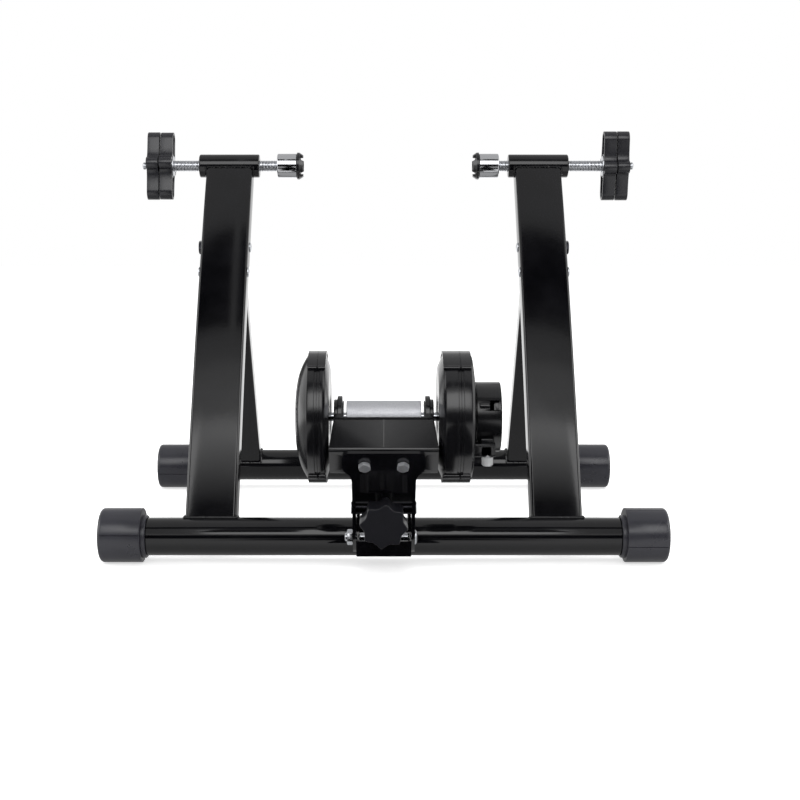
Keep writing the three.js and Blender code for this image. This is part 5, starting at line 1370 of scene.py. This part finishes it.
start = COLLAR_FROM + CAP_GAP
ledge = start + COLLAR_LEDGE
step = COLLAR_TO - COLLAR_LIP
end = COLLAR_TO + COLLAR_LIP
bore = BEARING_RADIUS + CAP_GAP
small = COLLAR_RADIUS - COLLAR_STEP
collar_profile = ([(start, bore), (start, small - 1.6), (start + 0.9, small - 1.2),
                   (ledge, COLLAR_RADIUS - COLLAR_EDGE)]
                  + low_corner(ledge, COLLAR_RADIUS, COLLAR_EDGE, 4)
                  + high_corner(step, COLLAR_RADIUS, COLLAR_EDGE, 4) + [(step, small)]
                  + high_corner(end, small, 0.6, 4) + [(end, bore), (start, bore)])
for side, sign in SIDES.items():
    collar = turned("bearing_collar_piece_" + side, handed(collar_profile, sign), 96)
    dress(settle(collar, at_unit), gloss_abs, "roller_unit", "housing", "bearing_collar_" + side)
    coat("bearing_" + side, ground_steel)
coat("flywheel", cast_iron)
coat("magnet_ring", cast_iron)
coat("brake_rotor", turned_aluminium)


# Covers of the flywheel and of the brake: each a pair of half shells moulded in gloss black ABS.
# The halves overlap in a shallow band at the seam and are clipped at the top and the bottom.
COVER_RADIUS = 58.5
COVER_WALL = 2.2
COVER_FACE = 48.8
HUB_DIP = 3.0
HUB_BORE = 7.0
DISH_SHARE = 0.78
PAD_HEIGHT = 2.5
PAD_HALF_ANGLE = 34
PAD_BAR = 2.3
PAD_CHIP = 0.8
SEAM_BAND = 2.1
SEAM_DEPTH = 0.7
DOME_STEPS = 24
DOME_POWER = 3.4


def inner_cover(name, sign, rim_start, seam):
    """The half shell that faces the roller: a rim, a cone, and a dished face with a bore."""
    wall = COVER_WALL
    shoulder = COVER_RADIUS - HUB_DIP
    dish = COVER_RADIUS * DISH_SHARE
    hub_edge = HUB_BORE * 3
    hub = HUB_BORE * 2
    dip = COVER_FACE + HUB_DIP
    profile = [(seam, COVER_RADIUS - wall), (seam, COVER_RADIUS - SEAM_DEPTH),
               (seam - SEAM_BAND, COVER_RADIUS - SEAM_DEPTH), (seam - SEAM_BAND - 0.4, COVER_RADIUS),
               (rim_start + wall + 0.6, COVER_RADIUS), (rim_start + wall - 0.4, COVER_RADIUS - 0.4),
               (rim_start + 0.3, shoulder + 0.5), (rim_start - 0.2, shoulder - 0.8),
               (COVER_FACE + 0.25, dish + 1.2), (COVER_FACE, dish - 0.6),
               (COVER_FACE, hub_edge + 0.5), (COVER_FACE + 0.3, hub_edge - 0.5),
               (dip - 0.3, hub + 0.5), (dip, hub - 0.5), (dip, HUB_BORE), (dip + wall, HUB_BORE),
               (dip + wall, hub + wall), (COVER_FACE + wall, hub_edge + wall),
               (COVER_FACE + wall, dish - wall), (rim_start + 2 * wall, COVER_RADIUS - wall),
               (seam, COVER_RADIUS - wall)]
    return turned(name, handed(profile, sign), 160)


def outer_cover(name, sign, seam, rim_end, crown, hub):
    """The outer half shell: a rim and a low dome, closed or with a bore for the spindle."""
    wall = COVER_WALL
    shoulder = COVER_RADIUS - HUB_DIP
    dome = []
    for i in range(DOME_STEPS + 1):
        radius = shoulder + (hub - shoulder) * i / DOME_STEPS
        share = 1 - (radius / shoulder) ** DOME_POWER
        dome.append((rim_end + (crown - rim_end) * share, radius))
    skin = [(seam, COVER_RADIUS - SEAM_DEPTH), (seam + SEAM_BAND, COVER_RADIUS - SEAM_DEPTH),
            (seam + SEAM_BAND + 0.4, COVER_RADIUS), (rim_end - wall - 0.6, COVER_RADIUS),
            (rim_end - wall + 0.4, COVER_RADIUS - 0.4), (rim_end - 0.4, shoulder + 0.5)] + dome
    edge = (seam, COVER_RADIUS - wall)
    inside = [(rim_end + (crown - rim_end) * 0.45 - wall, COVER_RADIUS * 0.8 - wall),
              (rim_end - 2 * wall, COVER_RADIUS - wall)]
    if hub:
        profile = [edge] + skin + [(crown - wall, hub)] + inside + [edge]
        return turned(name, handed(profile, sign), 160)
    outside = turned(name, handed([(seam, 0)] + skin, sign), 160)
    hollow = [(seam - 5, 0), (seam - 5, COVER_RADIUS - wall), inside[1], inside[0],
              (crown - wall, COVER_RADIUS * 0.3), (crown - wall, 0)]
    return cut(outside, turned("hollow", handed(hollow, sign), 160))


def clip_pads(cover, sign, start, end):
    """The raised bands at the cover's top and bottom, each with a round bar at both ends."""
    bar = handed(pin_profile(start, end, PAD_BAR, PAD_CHIP), sign)
    for middle in (90, 270):
        low, high = middle - PAD_HALF_ANGLE, middle + PAD_HALF_ANGLE
        outline = (circle_arc(0, 0, COVER_RADIUS + PAD_HEIGHT - 0.6, low, high, 20)
                   + circle_arc(0, 0, COVER_RADIUS - 1.1, high, low, 20))
        cut(cover, slab("pad", outline, (sign * start, sign * end)), operation="UNION")
        for spot in circle_arc(0, 0, COVER_RADIUS + 0.4, low, high, 1):
            cut(cover, turned("bar", bar, 24, spot), operation="UNION")
    return cover


COVERS = {"flywheel": (-1, 51.9, 59.0, 69.6, 80.4, 0), "brake": (1, 52.9, 68.2, 79.8, 83.2, 5.3)}
covers = {}
for kind, (sign, rim_start, seam, rim_end, crown, hub) in COVERS.items():
    inner = inner_cover(kind + "_inner_piece", sign, rim_start, seam)
    covers[kind + "_inner"] = clip_pads(inner, sign, rim_start - 0.2, seam)
    outer = outer_cover(kind + "_outer_piece", sign, seam + CAP_GAP, rim_end, crown, hub)
    covers[kind + "_outer"] = clip_pads(outer, sign, seam + CAP_GAP, rim_end - 1.6)

# The lug on the brake's outer cover, that the brake cable enters from below.
LUG_FROM = 85.5
LUG_TO = 99.5
LUG_TOP = -14.2
LUG_BOTTOM = -30.5
LUG_FRONT = -38.6
LUG_BACK = -25.6
DRUM_RADIUS = 32.0
DRUM_START = 83.5
DRUM_END = 106.0
INLET_NECK = 3.0
INLET_DEPTH = 8.0
inlet_y = (LUG_FRONT - DRUM_RADIUS) / 2
lug_middle = (LUG_FROM + LUG_TO) / 2
at_inlet = Matrix.Translation((lug_middle * MM, inlet_y * MM, 0)) @ turn_up
low_step = LUG_TOP - 4.5
step_front = LUG_FRONT + 1.4
lug = slab("lug", rounded_outline([(LUG_FRONT, LUG_BOTTOM, 2), (LUG_BACK, LUG_BOTTOM, 0),
                                   (LUG_BACK, low_step, 0), (LUG_FRONT, low_step, 1.5)]),
           (COVERS["brake"][4] - COVER_WALL, LUG_TO))
step = rounded_outline([(step_front, low_step - 1.5, 0), (LUG_BACK, low_step - 1.5, 0),
                        (LUG_BACK, LUG_TOP, 0), (step_front, LUG_TOP, 1.5)])
cut(lug, slab("upper step", step, (LUG_FROM + 1.5, LUG_TO - 1.5)), operation="UNION")
rounded(lug, 0.7, 3, 50)
cut(lug, rod(DRUM_RADIUS + 1.2, DRUM_START - 0.1, DRUM_END, (0, 0), 128))
cut(covers["brake_outer"], lug, operation="UNION")
stem = rod(INLET_NECK + CAP_GAP, LUG_BOTTOM - 5, LUG_BOTTOM + INLET_DEPTH + CAP_GAP, (0, 0), 32)
stem.matrix_world = at_inlet
cut(covers["brake_outer"], stem)
for name, cover in covers.items():
    kind, half = name.split("_")
    dress(settle(cover, at_roller), gloss_abs, "roller_unit", "housing",
          "%s_cover_%s" % (kind, half))


# Resistance drum: a cup moulded in black ABS that turns on the brake. The brake cable winds on it:
# its nipple sits in the notch, and a round key leads the cable in.
DRUM_WALL = 3.0
DRUM_HUB = 9.0
SPINDLE_RADIUS = 5.0
SPINDLE_END = 71.3
NOTCH_TURN = math.radians(-27)
NOTCH_HALF = 5.0
KEY_RADIUS = 3.0
KEY_START = 85.7
KEY_END = 94.6
at_notch = at_roller @ Matrix.Rotation(NOTCH_TURN, 4, "X")
floor_x = DRUM_END - DRUM_WALL - 4
profile = ([(SPINDLE_END, 0), (SPINDLE_END, SPINDLE_RADIUS), (DRUM_START, SPINDLE_RADIUS),
            (DRUM_START, DRUM_HUB), (floor_x, DRUM_HUB), (floor_x, DRUM_RADIUS - DRUM_WALL),
            (DRUM_START, DRUM_RADIUS - DRUM_WALL), (DRUM_START, DRUM_RADIUS - 0.4),
            (DRUM_START + 0.4, DRUM_RADIUS)]
           + high_corner(DRUM_END, DRUM_RADIUS, 1.2, 5)
           + [(DRUM_END, DRUM_RADIUS - 4), (DRUM_END - 1.0, DRUM_RADIUS - 5), (DRUM_END - 1.0, 0)])
drum = turned("drum_piece", profile, 160)
cut(drum, turned("key", pin_profile(KEY_START, KEY_END, KEY_RADIUS, 0.6), 32, (1.5 - DRUM_RADIUS, 0)),
    operation="UNION")
notch_end = DRUM_END - DRUM_WALL
notch = [(-DRUM_RADIUS - 5, -NOTCH_HALF), (4 - DRUM_RADIUS, -NOTCH_HALF),
         (4 - DRUM_RADIUS, NOTCH_HALF), (-DRUM_RADIUS - 5, NOTCH_HALF)]
cut(drum, slab("notch", notch, (notch_end - 8, notch_end)))
rounded(drum, 0.35, 2, 50)
dress(settle(drum, at_notch), gloss_abs, "drum", "housing", "resistance_drum")


# Cable inlet: a plug of natural nylon, with its stem in the lug of the brake's cover. A fine bore
# through it leads the brake cable to the drum.
def clear_nylon(name):
    """Natural nylon, milky and half translucent, so that light spreads inside it."""
    material, tree = new_material(name)
    place = add_node(tree, "ShaderNodeTexCoord")
    clouds = add_node(tree, "ShaderNodeTexNoise", Vector=place.outputs["Object"], Scale=150.0,
                      Detail=3.0)
    gloss = add_node(tree, "ShaderNodeMapRange", Value=clouds.outputs["Fac"], _1=0.3, _2=0.7,
                     _3=0.16, _4=0.28)
    skin = add_node(tree, "ShaderNodeBsdfPrincipled", Base__Color=linear("#c9cacb"),
                    Roughness=gloss.outputs["Result"], IOR=1.53, Transmission__Weight=0.5)
    add_node(tree, "ShaderNodeOutputMaterial", Surface=skin.outputs["BSDF"])
    return material


milky_nylon = clear_nylon("milky natural nylon")
INLET_RADIUS = 5.2
INLET_CHIP = 1.4
CABLE_BORE = 1.3
inlet_top = LUG_BOTTOM - CAP_GAP
inlet_low = inlet_top - 8.0
stem_end = LUG_BOTTOM + INLET_DEPTH
profile = [(inlet_low, CABLE_BORE), (inlet_low, INLET_RADIUS - INLET_CHIP),
           (inlet_low + INLET_CHIP, INLET_RADIUS), (inlet_top, INLET_RADIUS),
           (inlet_top, INLET_NECK), (stem_end, INLET_NECK), (stem_end, CABLE_BORE),
           (inlet_low, CABLE_BORE)]
inlet = turned("cable_inlet_piece", profile, 64)
dress(settle(inlet, at_roller @ at_inlet), milky_nylon, "roller_unit", "nylon", "cable_inlet")
